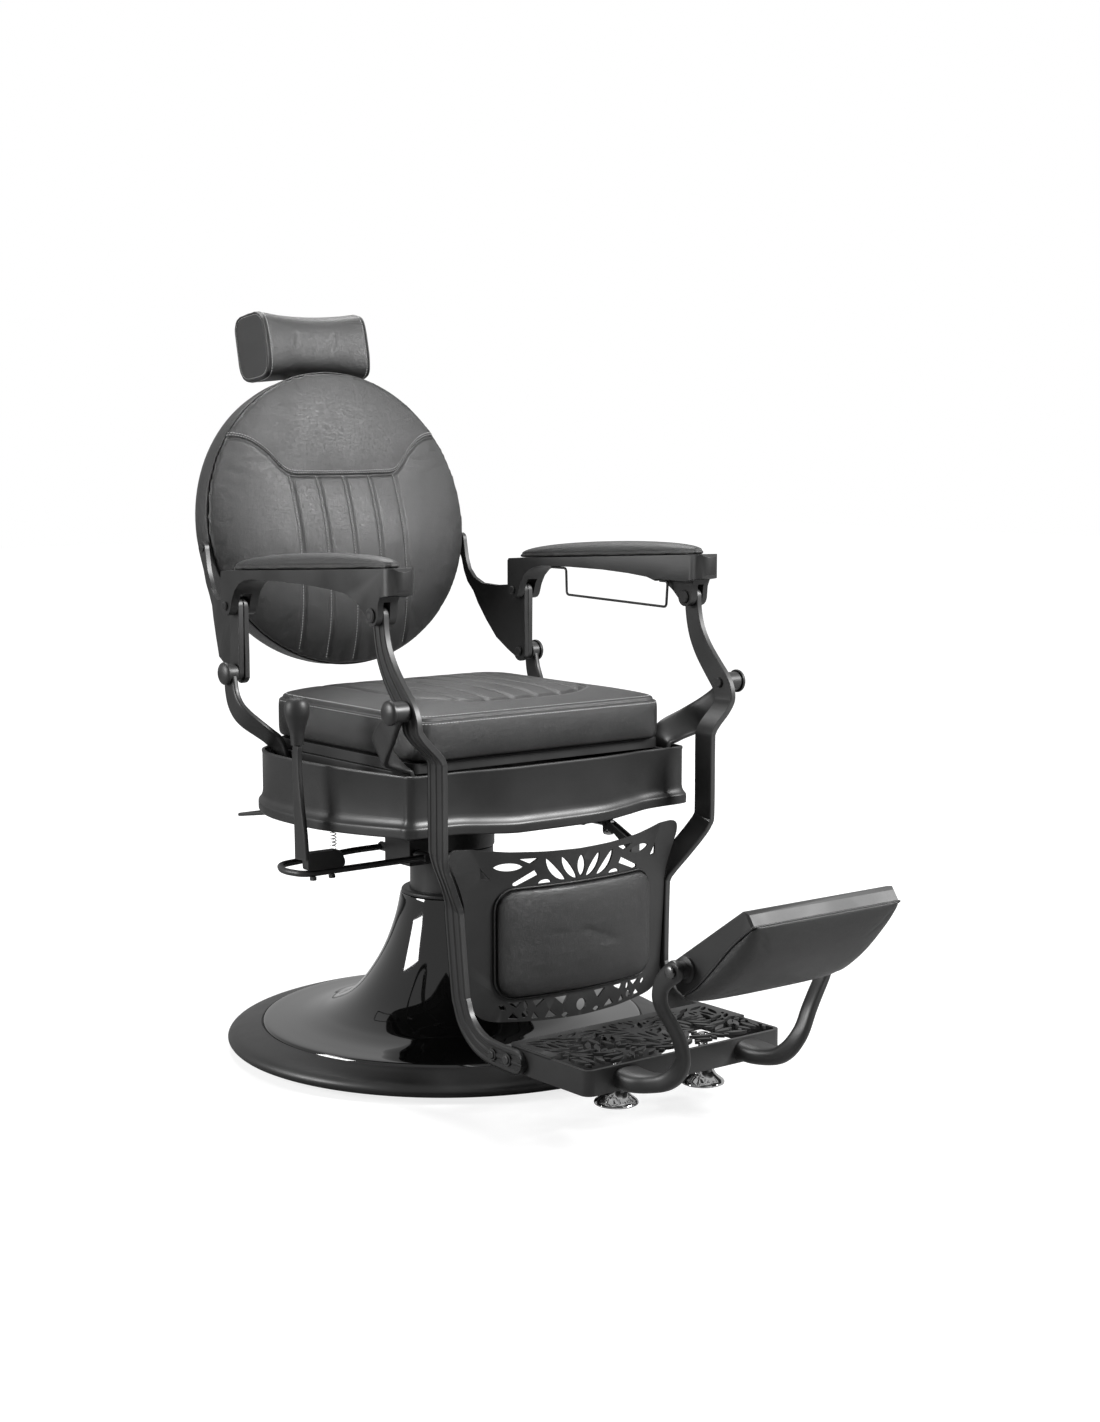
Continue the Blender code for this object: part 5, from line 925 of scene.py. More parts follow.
def build_back():
    depths = ((0.003, BACK_RIM), (0.0008, BACK_RIM - 0.002), (0.0008, -0.001), (0.0035, -0.0055),
              (0.0095, -0.01), (0.02, -0.0155), (0.04, -0.023), (0.07, -0.031), (0.11, -0.0375),
              (0.155, -0.0412), (0.2, -0.0425))
    cushion = make_object("back_cushion_leather",
                          add_rings(bmesh.new(), [back_face(i, d) for i, d in depths]), LEATHER)
    inverse = np.array(BACK.inverted())

    def hold(points):
        local = points @ inverse[:3, :3].T + inverse[:3, 3]
        rim = np.where(local[:, 1] > -0.0035, 1.0, 0.0)
        yoke = np.interp(np.abs(local[:, 0]), [x for x, _ in YOKE], [u for _, u in YOKE])
        seam = np.exp(-((local[:, 2] - yoke) / 0.006) ** 2) * 0.6
        return np.maximum(rim, seam)

    inflate(cushion, 0.0052, 0.007, hold)
    yoke = [p for p, _ in on_back(cushion, yoke_line())]
    channels = []
    for x in CHANNELS:
        low = -(BACK_DOWN - 0.008) * math.sqrt(1 - (x / (BACK_HALF - 0.008)) ** 2)
        channels.append([(x, 0.0725 + (low - 0.0725) * i / 69) for i in range(70)])
    laid = [[p for p, _ in on_back(cushion, line)] for line in channels]
    press(cushion, [yoke], 0.0034, 0.0022)
    press(cushion, laid, 0.0022, 0.0034)
    seat_piece(cushion, "back", ("back_cushion",))

    rows = []
    for line in channels:
        rows.append(on_back(cushion, [(x - 0.0026, u) for x, u in line], 0.0001))
    rows.append(on_back(cushion, yoke_line(-0.0042), 0.0001))
    rows.append(on_back(cushion, yoke_line(-0.0078), 0.0001))
    stitches("back_stitches", [part for row in rows for part in split_lines(row)], "back", pitch=0.0046,
             length=0.003)

    ring = back_oval(0.0016, BACK_RIM + 0.0006, 160)
    welt("back_piping", ring, 0.0016, "back")
    depths = ((0.004, BACK_RIM + GAP), (0.0022, BACK_RIM + 0.003), (0.002, BACK_RIM + 0.008),
              (0.0024, SHELL_DEPTH - 0.022), (0.0045, SHELL_DEPTH - 0.0105), (0.009, SHELL_DEPTH - 0.0042),
              (0.018, SHELL_DEPTH - 0.0012), (0.06, SHELL_DEPTH), (0.15, SHELL_DEPTH), (0.2, SHELL_DEPTH))
    shell = make_object("back_shell_leather", add_rings(bmesh.new(), [back_oval(i, d) for i, d in depths]),
                        LEATHER)
    seat_piece(shell, "back", ("back_shell",))
    ring = []
    for k in range(161):
        a = 2 * math.pi * k / 160
        reach = BACK_UP if math.sin(a) > 0 else BACK_DOWN
        ring.append((BACK @ Vector(((BACK_HALF - 0.03) * math.cos(a), SHELL_DEPTH,
                                    (reach - 0.03) * math.sin(a))), BACK.to_3x3() @ Vector((0, 1, 0))))
    stitches("back_shell_stitches", [ring], "back", DARK_THREAD)

    for word in SIDES:
        refined("back_bracket_" + word, SATIN, 0.0016)
        refined("rear_link_" + word, SATIN, 0.0018)
    edit = bmesh.new()
    for side in SIDES.values():
        bolt_head(edit, (side * 0.2542, *BACK_BOLT), "X" if side > 0 else "-X", 0.0066, 0.0028)
    piece("back_bracket_bolts", edit, "back", BOLT, smooth=30)


def build_headrest():
    refined("headrest_guide", SATIN, 0.0015)
    refined("headrest_post", STEEL, 0.0008)
    edit = bmesh.new()
    steps = 72
    rings = []
    base = SHELL_DEPTH + GAP + 0.021 + GAP
    for radius, height, lobes in ((0.006, 0.0, 0), (0.006, 0.005, 0), (0.0132, 0.0065, 1),
                                  (0.014, 0.009, 1), (0.014, 0.018, 1), (0.0128, 0.0212, 1),
                                  (0.0085, 0.0229, 0), (0.0003, 0.023, 0)):
        ring = []
        for k in range(steps):
            a = 2 * math.pi * k / steps
            r = radius - lobes * 0.0008 * (0.5 + 0.5 * math.cos(18 * a))
            ring.append(BACK @ Vector((r * math.cos(a), base + height, 0.14 + r * math.sin(a))))
        rings.append(ring)
    piece("headrest_clamp_knob_fine", add_rings(edit, rings), "back", RUBBER, ("headrest_clamp_knob",), 50)

    half, deep, high = 0.1, 0.104, 0.1205
    middle, up_middle = 0.068, 0.2953
    count = 64

    def section(share, size, extra=0.0):
        dip = 0.009 * (1 - share * share)
        arch = 0.007 * min((1 - abs(share)) / 0.6, 1.0)
        ring = []
        for k in range(count):
            a = 2 * math.pi * k / count
            c, s = math.cos(a), math.sin(a)
            across = math.copysign(abs(c) ** 0.5, c) * (deep / 2 - 0.003) * size
            up = math.copysign(abs(s) ** 0.5, s) * (high / 2 - 0.003) * size
            if across < 0:
                across += dip * (-across) / (deep / 2)
            if up > 0:
                up -= dip * up / (high / 2)
            else:
                up += arch * (1 + min(max(-across / (deep / 2), 0.0), 1.0)) * -up / (high / 2)
            ring.append(BACK @ Vector((share * half + extra, middle + across + up * 0.08, up_middle + up)))
        return ring

    shares = [-0.985 + 1.97 * k / 36 for k in range(37)]
    rings = [section(-1.0, 0.9, 0.0015)] + [section(s, 1.0) for s in shares] + [section(1.0, 0.9, -0.0015)]
    cushion = make_object("headrest_leather", add_rings(bmesh.new(), rings), LEATHER)
    inverse = np.array(BACK.inverted())

    def hold(points):
        local = points @ inverse[:3, :3].T + inverse[:3, 3]
        return np.where(np.abs(local[:, 0]) > half * 0.955, 1.0, 0.0)

    inflate(cushion, 0.0038, 0.0045, hold)
    rows = []
    for side in SIDES.values():
        def ring_at(share, cushion=cushion):
            points = section(share, 1.3)
            core = BACK @ Vector((share * half, middle, up_middle))
            found = lay(cushion, points + points[:1],
                        [(core - p).normalized() for p in points + points[:1]], 0.0001)
            return found

        line = ring_at(side * 0.955)
        press(cushion, [[p for p, _ in line]], 0.0018, 0.0024)
        rows.append(ring_at(side * 0.915))
        ends = section(side * 1.0, 0.885)
        outward = BACK.to_3x3() @ Vector((side, 0, 0))
        rows.append(lay(cushion, [p + outward * 0.02 for p in ends + ends[:1]], -outward, 0.0001))
        welt("headrest_piping_%s" % ("left" if side > 0 else "right"),
             [p for p, _ in ring_at(side * 0.975)][:-1], 0.002, "headrest")
    seat_piece(cushion, "headrest", ("headrest_cushion",))
    stitches("headrest_stitches", rows, "headrest", pitch=0.0044, length=0.0031)


# ---------------------------------------------------------------- armrests
def casting_top(y):
    return 0.7407 + (0.1845 - y) / 0.4705 * 0.0255


def casting_outer(y):
    return 0.296 + (0.1845 - y) / 0.4705 * 0.0075


def build_armrests():
    rear, front = 0.17, -0.262
    for word, side in SIDES.items():
        body = "armrest_" + word
        refined(body, SATIN, 0.0032, segments=5)
        axis = "X" if side > 0 else "-X"
        rings = []
        for k in range(49):
            share = k / 48
            y = rear + (front - rear) * (0.5 - 0.5 * math.cos(math.pi * share))
            swell = max(math.sin(math.pi * share), 0.0) ** 0.42
            half = max(0.021 * swell, 0.003)
            height = 0.004 + 0.019 * math.sin(math.pi * share) ** 0.75
            middle = casting_outer(y) - ARM_WIDTH / 2
            floor = casting_top(y) + GAP
            ring = []
            for a, b in ((0.93, 0.0), (-0.93, 0.0), (-1.0, 0.08), (-1.0, 0.22), (-0.97, 0.38)):
                ring.append(Vector((side * (middle + half * a), y, floor + height * b)))
            for angle in range(155, 20, -10):
                turn = math.radians(angle)
                ring.append(Vector((side * (middle + half * 0.97 * math.cos(turn)), y,
                                    floor + height * (0.3 + 0.7 * math.sin(turn) ** 0.85))))
            for a, b in ((0.97, 0.38), (1.0, 0.22), (1.0, 0.08)):
                ring.append(Vector((side * (middle + half * a), y, floor + height * b)))
            rings.append(ring)
        pad = make_object("arm_pad_%s_leather" % word, add_rings(bmesh.new(), rings), LEATHER)

        def hold(points):
            floors = casting_top(points[:, 1]) + GAP
            return np.where(points[:, 2] < floors + 0.006, 1.0, 0.0)

        inflate(pad, 0.003, 0.0022, hold)
        seam = []
        outline = []
        for k in range(97):
            share = k / 48 if k <= 48 else 2 - k / 48
            flip = 1 if k <= 48 else -1
            y = rear + (front - rear) * (0.5 - 0.5 * math.cos(math.pi * min(max(share, 0.004), 0.996)))
            swell = max(math.sin(math.pi * min(max(share, 0.004), 0.996)), 0.0) ** 0.42
            middle = casting_outer(y) - ARM_WIDTH / 2
            seam.append(Vector((side * (middle + flip * 0.021 * swell * 1.3), y, casting_top(y) + 0.0068)))
            outline.append(Vector((side * (middle), y, casting_top(y) + 0.0068)))
        found = lay(pad, seam, [(o - p).normalized() if (o - p).length > 1e-5 else Vector((0, 0, -1))
                                for o, p in zip(outline, seam)], 0.0)
        press(pad, [[p for p, _ in found]], 0.0011, 0.0016)
        seat_piece(pad, body, ("arm_pad_" + word,))

        for kind, joint_body, pivot, inner, head in (
            ("rear", "back", ARM_REAR_PIVOT, casting_outer(ARM_REAR_PIVOT[0]) - ARM_WIDTH, 0.0068),
            ("front", "leg_frame", ARM_FRONT_PIVOT, 0.27, 0.01),
        ):
            outer = casting_outer(pivot[0]) + 0.0008
            inner -= 0.0008
            pin = [(0.0003, inner - 0.003), (head * 0.85, inner - 0.003), (head, inner - 0.002),
                   (head, inner), (0.004, inner), (0.004, outer), (0.0003, outer)]
            edit = turned(bmesh.new(), pin, 40, (0.0, *pivot), axis)
            bolt_head(edit, (side * outer, *pivot), axis, head, 0.0034)
            piece("armrest_%s_bolt_%s_fine" % (kind, word), edit, joint_body, SATIN,
                  ("armrest_%s_bolt_%s" % (kind, word),), 30)

    x = 0.262
    rear_run = 0.7325 - GAP - 0.002
    front_run = 0.7245 - GAP - 0.002
    route = ((x, 0.08, rear_run), (x, 0.043, rear_run), (x, 0.041, 0.6875), (x, -0.204, 0.6825),
             (x, -0.207, front_run), (x, -0.189, front_run))
    piece("towel_bar_fine", add_wire(bmesh.new(), ease(route, 0.006, 8), 0.002, 14), "armrest_left", SATIN,
          ("towel_bar",))


# ---------------------------------------------------------------- legs, kick plate and tread
KICK_HALF = 0.18         # where the kick plate's curve ends on each side
KICK_EDGE_Y = -0.2865
KICK_BOW = 0.032
KICK_THICKNESS = 0.0035


def kick_back_y(x):
    share = min(abs(x) / KICK_HALF, 1.0)
    return KICK_EDGE_Y - KICK_BOW * (1 - share * share)


def kick_point(x, z, depth):
    return Vector((x, kick_back_y(x) - depth, z))


def finely(outline, step=0.008):
    """Add points so that no side of a closed outline is longer than step."""
    points = []
    for i, (x, z) in enumerate(outline):
        nx, nz = outline[(i + 1) % len(outline)]
        count = max(1, int(math.hypot(nx - x, nz - z) / step))
        for k in range(count):
            points.append((x + (nx - x) * k / count, z + (nz - z) * k / count))
    return points


def strap_stations():
    sx, bx, lx, t = STRAP_X, 0.247, 0.192, METAL_THICKNESS
    (fy, fz), (ay, az) = FRONT_PIVOT, ARM_FRONT_PIVOT
    return ((sx, ay, az, 0.029, t), (sx, ay - 0.0015, az - 0.02, 0.029, t),
            (sx, ay - 0.0055, az - 0.04, 0.03, t), (sx, ay - 0.013, az - 0.06, 0.032, t),
            (sx, ay - 0.0265, az - 0.082, 0.034, t), (sx, ay - 0.047, az - 0.106, 0.036, t),
            (sx, fy, fz, 0.038, t), (sx, fy - 0.0078, fz - 0.015, 0.038, t),
            (sx - 0.002, fy - 0.009, fz - 0.029, 0.037, t), (sx - 0.013, fy - 0.0095, fz - 0.043, 0.037, t),
            (bx + 0.012, fy - 0.0095, fz - 0.058, 0.037, t),
            (bx + 0.002, fy - 0.0095, fz - 0.071, 0.037, t), (bx, fy - 0.0095, fz - 0.088, 0.037, t),
            (bx, fy - 0.0095, 0.385, 0.037, t), (bx - 0.002, fy - 0.008, 0.368, 0.037, t),
            (bx - 0.011, fy - 0.001, 0.35, 0.037, t), (lx + 0.027, fy + 0.01, 0.325, 0.037, t),
            (lx + 0.01, fy + 0.022, 0.3, 0.037, t), (lx + 0.002, fy + 0.0275, 0.284, 0.037, t),
            (lx, fy + 0.0285, 0.265, 0.037, t), (lx - 0.0055, fy + 0.024, 0.165, 0.036, t),
            (lx - 0.0065, fy + 0.02, 0.145, 0.036, t), (lx - 0.007, fy + 0.01, 0.122, 0.036, t),
            (lx - 0.0075, fy - 0.01, 0.103, 0.036, t), (0.184, fy - 0.037, 0.092, 0.035, t),
            (0.184, fy - 0.072, 0.0885, 0.035, t), (0.184, fy - 0.104, 0.0875, 0.035, t))


def build_legs():
    for word, side in SIDES.items():
        strap = add_strap(bmesh.new(), side, strap_stations(), FLUTED, 0.0145, 0.0175, parts=4)
        piece("front_strap_%s_fine" % word, strap, "leg_frame", SATIN, ("front_strap_" + word,), 32)

    half = ((0.0, 0.107), (0.07, 0.109), (0.14, 0.1145), (0.158, 0.119), (0.171, 0.129), (0.178, 0.145),
            (0.18, 0.16), (0.1837, 0.215), (0.186, 0.265), (0.186, 0.285), (0.1925, 0.308), (0.203, 0.332),
            (0.212, 0.352), (0.2115, 0.364), (0.204, 0.369), (0.175, 0.3665), (0.12, 0.359), (0.06, 0.355),
            (0.0, 0.3535))
    outline = [tuple(p) for p in ease(list(half) + [(-x, z) for x, z in reversed(half) if x > 0.0001],
                                      0.008, 3, loop=True)]
    holes = [petal((0.0, 0.313), (0.0, 0.345), 0.014, 0.0), circle((0.0, 0.123), 0.0088, 28)]
    for side in (1, -1):
        holes.append(petal((side * 0.0085, 0.3112), (side * 0.035, 0.345), 0.0115, -side * 0.0022))
        holes.append(petal((side * 0.0285, 0.311), (side * 0.062, 0.3452), 0.0115, -side * 0.0036))
        holes.append([(side * (0.064 + 0.011 * math.cos(a)), 0.3096 + 0.0056 * math.sin(a))
                      for a in (math.pi * k / 8 for k in range(9))])
        holes.append(petal((side * 0.144, 0.339), (side * 0.098, 0.336), 0.0115, 0.0))
        for corners in (((0.0745, 0.3225), (0.108, 0.3095), (0.115, 0.3105), (0.115, 0.314),
                         (0.08, 0.3305)), ((0.074, 0.347), (0.104, 0.348), (0.087, 0.34)),
                        ((0.163, 0.34), (0.148, 0.3215), (0.162, 0.3235)),
                        ((0.0435, 0.1122), (0.064, 0.1128), (0.0567, 0.1235)),
                        ((0.0245, 0.14), (0.047, 0.14), (0.032, 0.127)),
                        ((0.064, 0.1402), (0.084, 0.1402), (0.078, 0.13)),
                        ((0.074, 0.1135), (0.0865, 0.1142), (0.082, 0.124)),
                        ((0.105, 0.1155), (0.123, 0.118), (0.115, 0.126)),
                        ((0.102, 0.1402), (0.122, 0.1402), (0.11, 0.132))):
            holes.append(rounded([(side * x, z) for x, z in corners]))
        holes.append(leaf((side * 0.029, 0.1122), 0.0135, 0.007, 0.0))
        holes.append(leaf((side * 0.095, 0.1345), 0.0135, 0.0065, side * 75.0))
        holes.append(circle((side * 0.0965, 0.1215), 0.005, 20))
        holes.append(leaf((side * 0.131, 0.135), 0.013, 0.007, side * 30.0))
    plate = flat_plate(bmesh.new(), finely(outline), holes, KICK_THICKNESS, kick_point)
    piece("kick_plate_fine", plate, "leg_frame", SATIN, ("kick_plate",), 34, bevel=0.0007)
    edit = bmesh.new()
    y, z, sx = -0.244, 0.366, 0.115
    back = kick_back_y(sx) - 0.0017
    add_box(edit, (sx - 0.008, back, z - 0.036), (sx + 0.008, back + 0.008, z - 0.0145))
    lug = [(back + 0.006, z - 0.034), (back + 0.006, z - 0.016), (y - 0.012, z + 0.003)] + arc((y, z),
        0.0068, 110, -90, 16) + [(y - 0.018, z - 0.01)]
    for flip in (-1, 1):
        low = sx + flip * 0.0053 - 0.0015
        flat_plate(edit, lug[::-1], [], 0.003, lambda a, b, d, low=low: Vector((low + d, a, b)))
    turned(edit, ((0.003, sx - 0.0085), (0.003, sx + 0.0085)), 24, (0.0, y, z), "X")
    piece("spring_lug", edit, "leg_frame", SATIN, bevel=0.0006)

    levels = ((0.004, GAP), (0.0015, 0.002), (0.001, 0.0065), (0.0035, 0.0098), (0.01, 0.012),
              (0.024, 0.0138), (0.045, 0.015), (0.062, 0.0154))
    edit = bmesh.new()
    rings = []
    for inset, depth in levels:
        radius = max(0.03 - inset * 0.35, 0.006)
        outline = finely(rounded_box(-0.143 + inset, 0.143 - inset, 0.147 + inset, 0.306 - inset,
                                     (radius,) * 4, 6), 0.02)
        rings.append([kick_point(x, z, KICK_THICKNESS + depth) for x, z in fixed_count(outline, 96)])
    add_rings(edit, rings)
    pad = make_object("kick_panel_leather", edit, LEATHER)

    def hold(points):
        back_face = KICK_EDGE_Y - KICK_BOW * (1 - np.minimum(np.abs(points[:, 0]) / KICK_HALF, 1) ** 2)
        return np.where(back_face - points[:, 1] < 0.0095, 1.0, 0.0)

    inflate(pad, 0.0042, 0.0022, hold, 1.2)
    seat_piece(pad, "leg_frame", ("kick_panel_pad",))
    outline = fixed_count(rounded_box(-0.1435, 0.1435, 0.1465, 0.3065, (0.03,) * 4, 8), 160)
    welt("kick_panel_piping", [kick_point(x, z, KICK_THICKNESS + 0.0022) for x, z in outline], 0.0016,
         "leg_frame")


def fixed_count(outline, count):
    """The same closed outline with a set number of evenly spaced points, from its rightmost point."""
    points = [Vector(p).to_2d() for p in outline]
    start = max(range(len(points)), key=lambda i: (round(points[i].x, 4), -abs(points[i].y - 0.2)))
    points = points[start:] + points[:start]
    points.append(points[0])
    lengths = [0.0]
    for a, b in zip(points, points[1:]):
        lengths.append(lengths[-1] + (b - a).length)
    made = []
    j = 0
    for k in range(count):
        want = lengths[-1] * k / count
        while lengths[j + 1] < want:
            j += 1
        t = (want - lengths[j]) / max(lengths[j + 1] - lengths[j], 1e-9)
        made.append(tuple(points[j].lerp(points[j + 1], t)))
    return made


def foliage(half, front, rear):
    """Dense leaf-shaped holes, laid largest first wherever they keep clear of each other and of the feet."""
    random = np.random.RandomState(11)
    holes = []
    taken = np.array([(0.08, -0.498), (0.08, -0.507), (0.08, -0.489)])
    for length, width, tries in ((0.034, 0.0085, 260), (0.026, 0.0072, 500), (0.018, 0.0062, 700),
                                 (0.011, 0.0052, 900)):
        for _ in range(tries):
            x = random.uniform(0.004, half)
            y = random.uniform(front, rear)
            veer = 62.0 * math.sin(x * 52.0 + 0.6) + 40.0 * math.sin(y * 75.0 + x * 20.0)
            points = leaf((x, y), length, width, veer + random.uniform(-12.0, 12.0), 5)
            near = np.array(points)
            if near[:, 0].min() < 0.0012 or near[:, 0].max() > half or near[:, 1].min() < front or near[:,
                    1].max() > rear:
                continue
            gaps = np.linalg.norm(taken[:, None] - near[None], axis=2)
            if gaps.min() < 0.0021 or gaps[:3].min() < 0.009:
                continue
            holes += [points, [(-a, b) for a, b in reversed(points)]]
            middle = np.linspace(points[0], points[6], 8)
            taken = np.vstack([taken, near, middle])
    return holes


def build_tread():
    half, rear, front, top, bottom = 0.1786, -0.385, -0.556, 0.11, 0.071
    thick, rim = 0.0045, 0.006
    outer = rounded_box(-half, half, front, rear, (0.014, 0.006, 0.006, 0.014), 6)
    holes = foliage(half - 0.012, front + 0.013, rear - 0.012)
    edit = flat_plate(bmesh.new(), finely(outer, 0.02), holes, thick,
                      lambda x, y, d: Vector((x, y, top - thick + d)))
    inner = rounded_box(-half + rim, half - rim, front + rim, rear - rim, (0.008, 0.003, 0.003, 0.008), 6)
    middle = top - thick + 0.001
    add_rings(edit, [[Vector((x, y, z)) for x, y in outline]
                     for outline, z in ((outer, bottom), (outer, middle), (inner, middle),
                                        (inner, bottom))], loop=True)
    piece("foot_plate_fine", edit, "leg_frame", SATIN, ("foot_plate",), 34, bevel=0.001)

    for word, side in SIDES.items():
        place = (side * 0.08, -0.498, 0.0)
        low = 0.032
        profile = [(0.0003, low), (0.029, low), (0.0306, low + 0.0008), (0.031, low + 0.0025),
                   (0.03, low + 0.0045), (0.027, low + 0.007), (0.0215, low + 0.0112),
                   (0.0185, low + 0.015), (0.016, low + 0.0195), (0.0145, low + 0.024),
                   (0.0135, low + 0.0262), (0.0135, low + 0.0278), (0.012, low + 0.029),
                   (0.0072, low + 0.03), (0.007, low + 0.032)]
        level = low + 0.032
        while level < 0.104:
            profile += [(0.0062, level + 0.0006), (0.007, level + 0.0012)]
            level += 0.0012
        profile += [(0.007, 0.1049), (0.0003, 0.1049)]
        piece("tread_foot_%s_fine" % word, turned(bmesh.new(), profile, 56, place), "leg_frame", CHROME,
              ("tread_foot_" + word,), 30)

    y, z = -0.7, 0.267
    tip = front - GAP
    a = 0.1525
    stations = ((0.1105, tip, 0.088, 0.03, 0.048), (0.1105, tip - 0.026, 0.088, 0.0285, 0.046),
                (0.107, tip - 0.049, 0.0905, 0.026, 0.034), (0.104, tip - 0.071, 0.0965, 0.025, 0.024),
                (0.103, tip - 0.09, 0.109, 0.025, 0.018), (0.1045, tip - 0.1035, 0.125, 0.025, 0.015),
                (0.109, tip - 0.1115, 0.143, 0.025, 0.013), (0.118, tip - 0.1135, 0.167, 0.025, 0.013),
                (0.131, tip - 0.113, 0.189, 0.025, 0.013), (0.143, tip - 0.112, 0.207, 0.025, 0.0125),
                (a - 0.002, tip - 0.1125, 0.225, 0.025, 0.0125), (a, y + 0.0255, z - 0.024, 0.026, 0.012),
                (a, y + 0.014, z - 0.0105, 0.028, 0.012), (a, y, z, 0.03, 0.012))
    for word, side in SIDES.items():
        arm = add_strap(bmesh.new(), side, stations, FULL_SECTION, 0.0, 0.015, parts=5)
        piece("footrest_arm_%s_fine" % word, arm, "leg_frame", SATIN, ("footrest_arm_" + word,), 50)
    edit = bmesh.new()
    for side in SIDES.values():
        for y in (-0.358, -0.392):
            axis = "X" if side > 0 else "-X"
            turned(edit, ((0.0088, 0.0), (0.0088, 0.0008), (0.0082, 0.0014), (0.0003, 0.0014)), 32,
                   (side * 0.1889, y, 0.0885), axis)
            bolt_head(edit, (side * 0.1903, y, 0.0885), axis, 0.0062, 0.0024)
    piece("tread_bolts", edit, "leg_frame", BOLT, smooth=30)


# ---------------------------------------------------------------- calf pad
SLOPE = math.radians(34.1)
CALF_EDGE_Y, CALF_EDGE_Z = -0.66, 0.264


def calf_point(x, along, depth):
    c, s = math.cos(SLOPE), math.sin(SLOPE)
    return Vector((x, CALF_EDGE_Y - along * c - depth * s, CALF_EDGE_Z + along * s - depth * c))


def build_calf():
    refined("calf_pad_shell", BOARD, 0.004, segments=5, smooth=30)
    seam = ((0.178, 0.0245), (0.15, 0.0262), (0.12, 0.03), (0.085, 0.0375), (0.055, 0.043), (0.03, 0.0455),
            (0.008, 0.043))
    bulge = ((0.001, 0.056), (0.02, 0.067), (0.055, 0.072), (0.1, 0.067), (0.145, 0.054), (0.172, 0.041),
             (0.182, 0.031))
    upper = smooth_path(seam, 5)
    lower = smooth_path(bulge, 5)
    half = 0.132
    rings = []
    for x, full in ((-half + 0.001, 0.3), (-half + 0.003, 0.52), (-half + 0.008, 0.74),
                    (-half + 0.018, 0.9), (-half + 0.036, 0.975), (-half * 0.4, 1.0), (0.0, 1.0),
                    (half * 0.4, 1.0), (half - 0.036, 0.975), (half - 0.018, 0.9), (half - 0.008, 0.74),
                    (half - 0.003, 0.52), (half - 0.001, 0.3)):
        ring = [calf_point(x, along, depth + GAP * 1.5) for along, depth in upper]
        for along, depth in lower:
            floor = 0.0455 - (along / 0.178) * 0.021
            ring.append(calf_point(x, 0.09 + (along - 0.09) * (0.97 + 0.015 * full),
                                   floor + GAP * 2 + (depth - 0.004 - floor) * full))
        rings.append(ring)
    pad = make_object("calf_cushion_leather", add_rings(bmesh.new(), rings), LEATHER)
    c, s = math.cos(SLOPE), math.sin(SLOPE)

    def hold(points):
        dy, dz = points[:, 1] - CALF_EDGE_Y, points[:, 2] - CALF_EDGE_Z
        along = -dy * c + dz * s
        depth = -dy * s - dz * c
        floor = np.interp(along, [0.0, 0.03, 0.055, 0.085, 0.12, 0.15, 0.178],
                          [0.043, 0.0455, 0.043, 0.0375, 0.03, 0.0262, 0.0245])
        return np.where(depth < floor + 0.006, 1.0, 0.0)

    inflate(pad, 0.0045, 0.005, hold)
    seat_piece(pad, "calf_pad", ("calf_pad_cushion",))
    side = half - 0.0005
    line = [calf_point(side, along, depth + 0.001) for along, depth in upper]
    back = [calf_point(-side, along, depth + 0.001) for along, depth in reversed(upper)]
    welt("calf_piping", ease(line + back, 0.004, 3, loop=True), 0.0015, "calf_pad")
    for word in SIDES:
        refined("calf_pad_bolt_" + word, BOLT, 0.0006)


# ---------------------------------------------------------------- seat cushion
SEAT_HALF, SEAT_FRONT, SEAT_REAR = 0.231, -0.246, 0.178


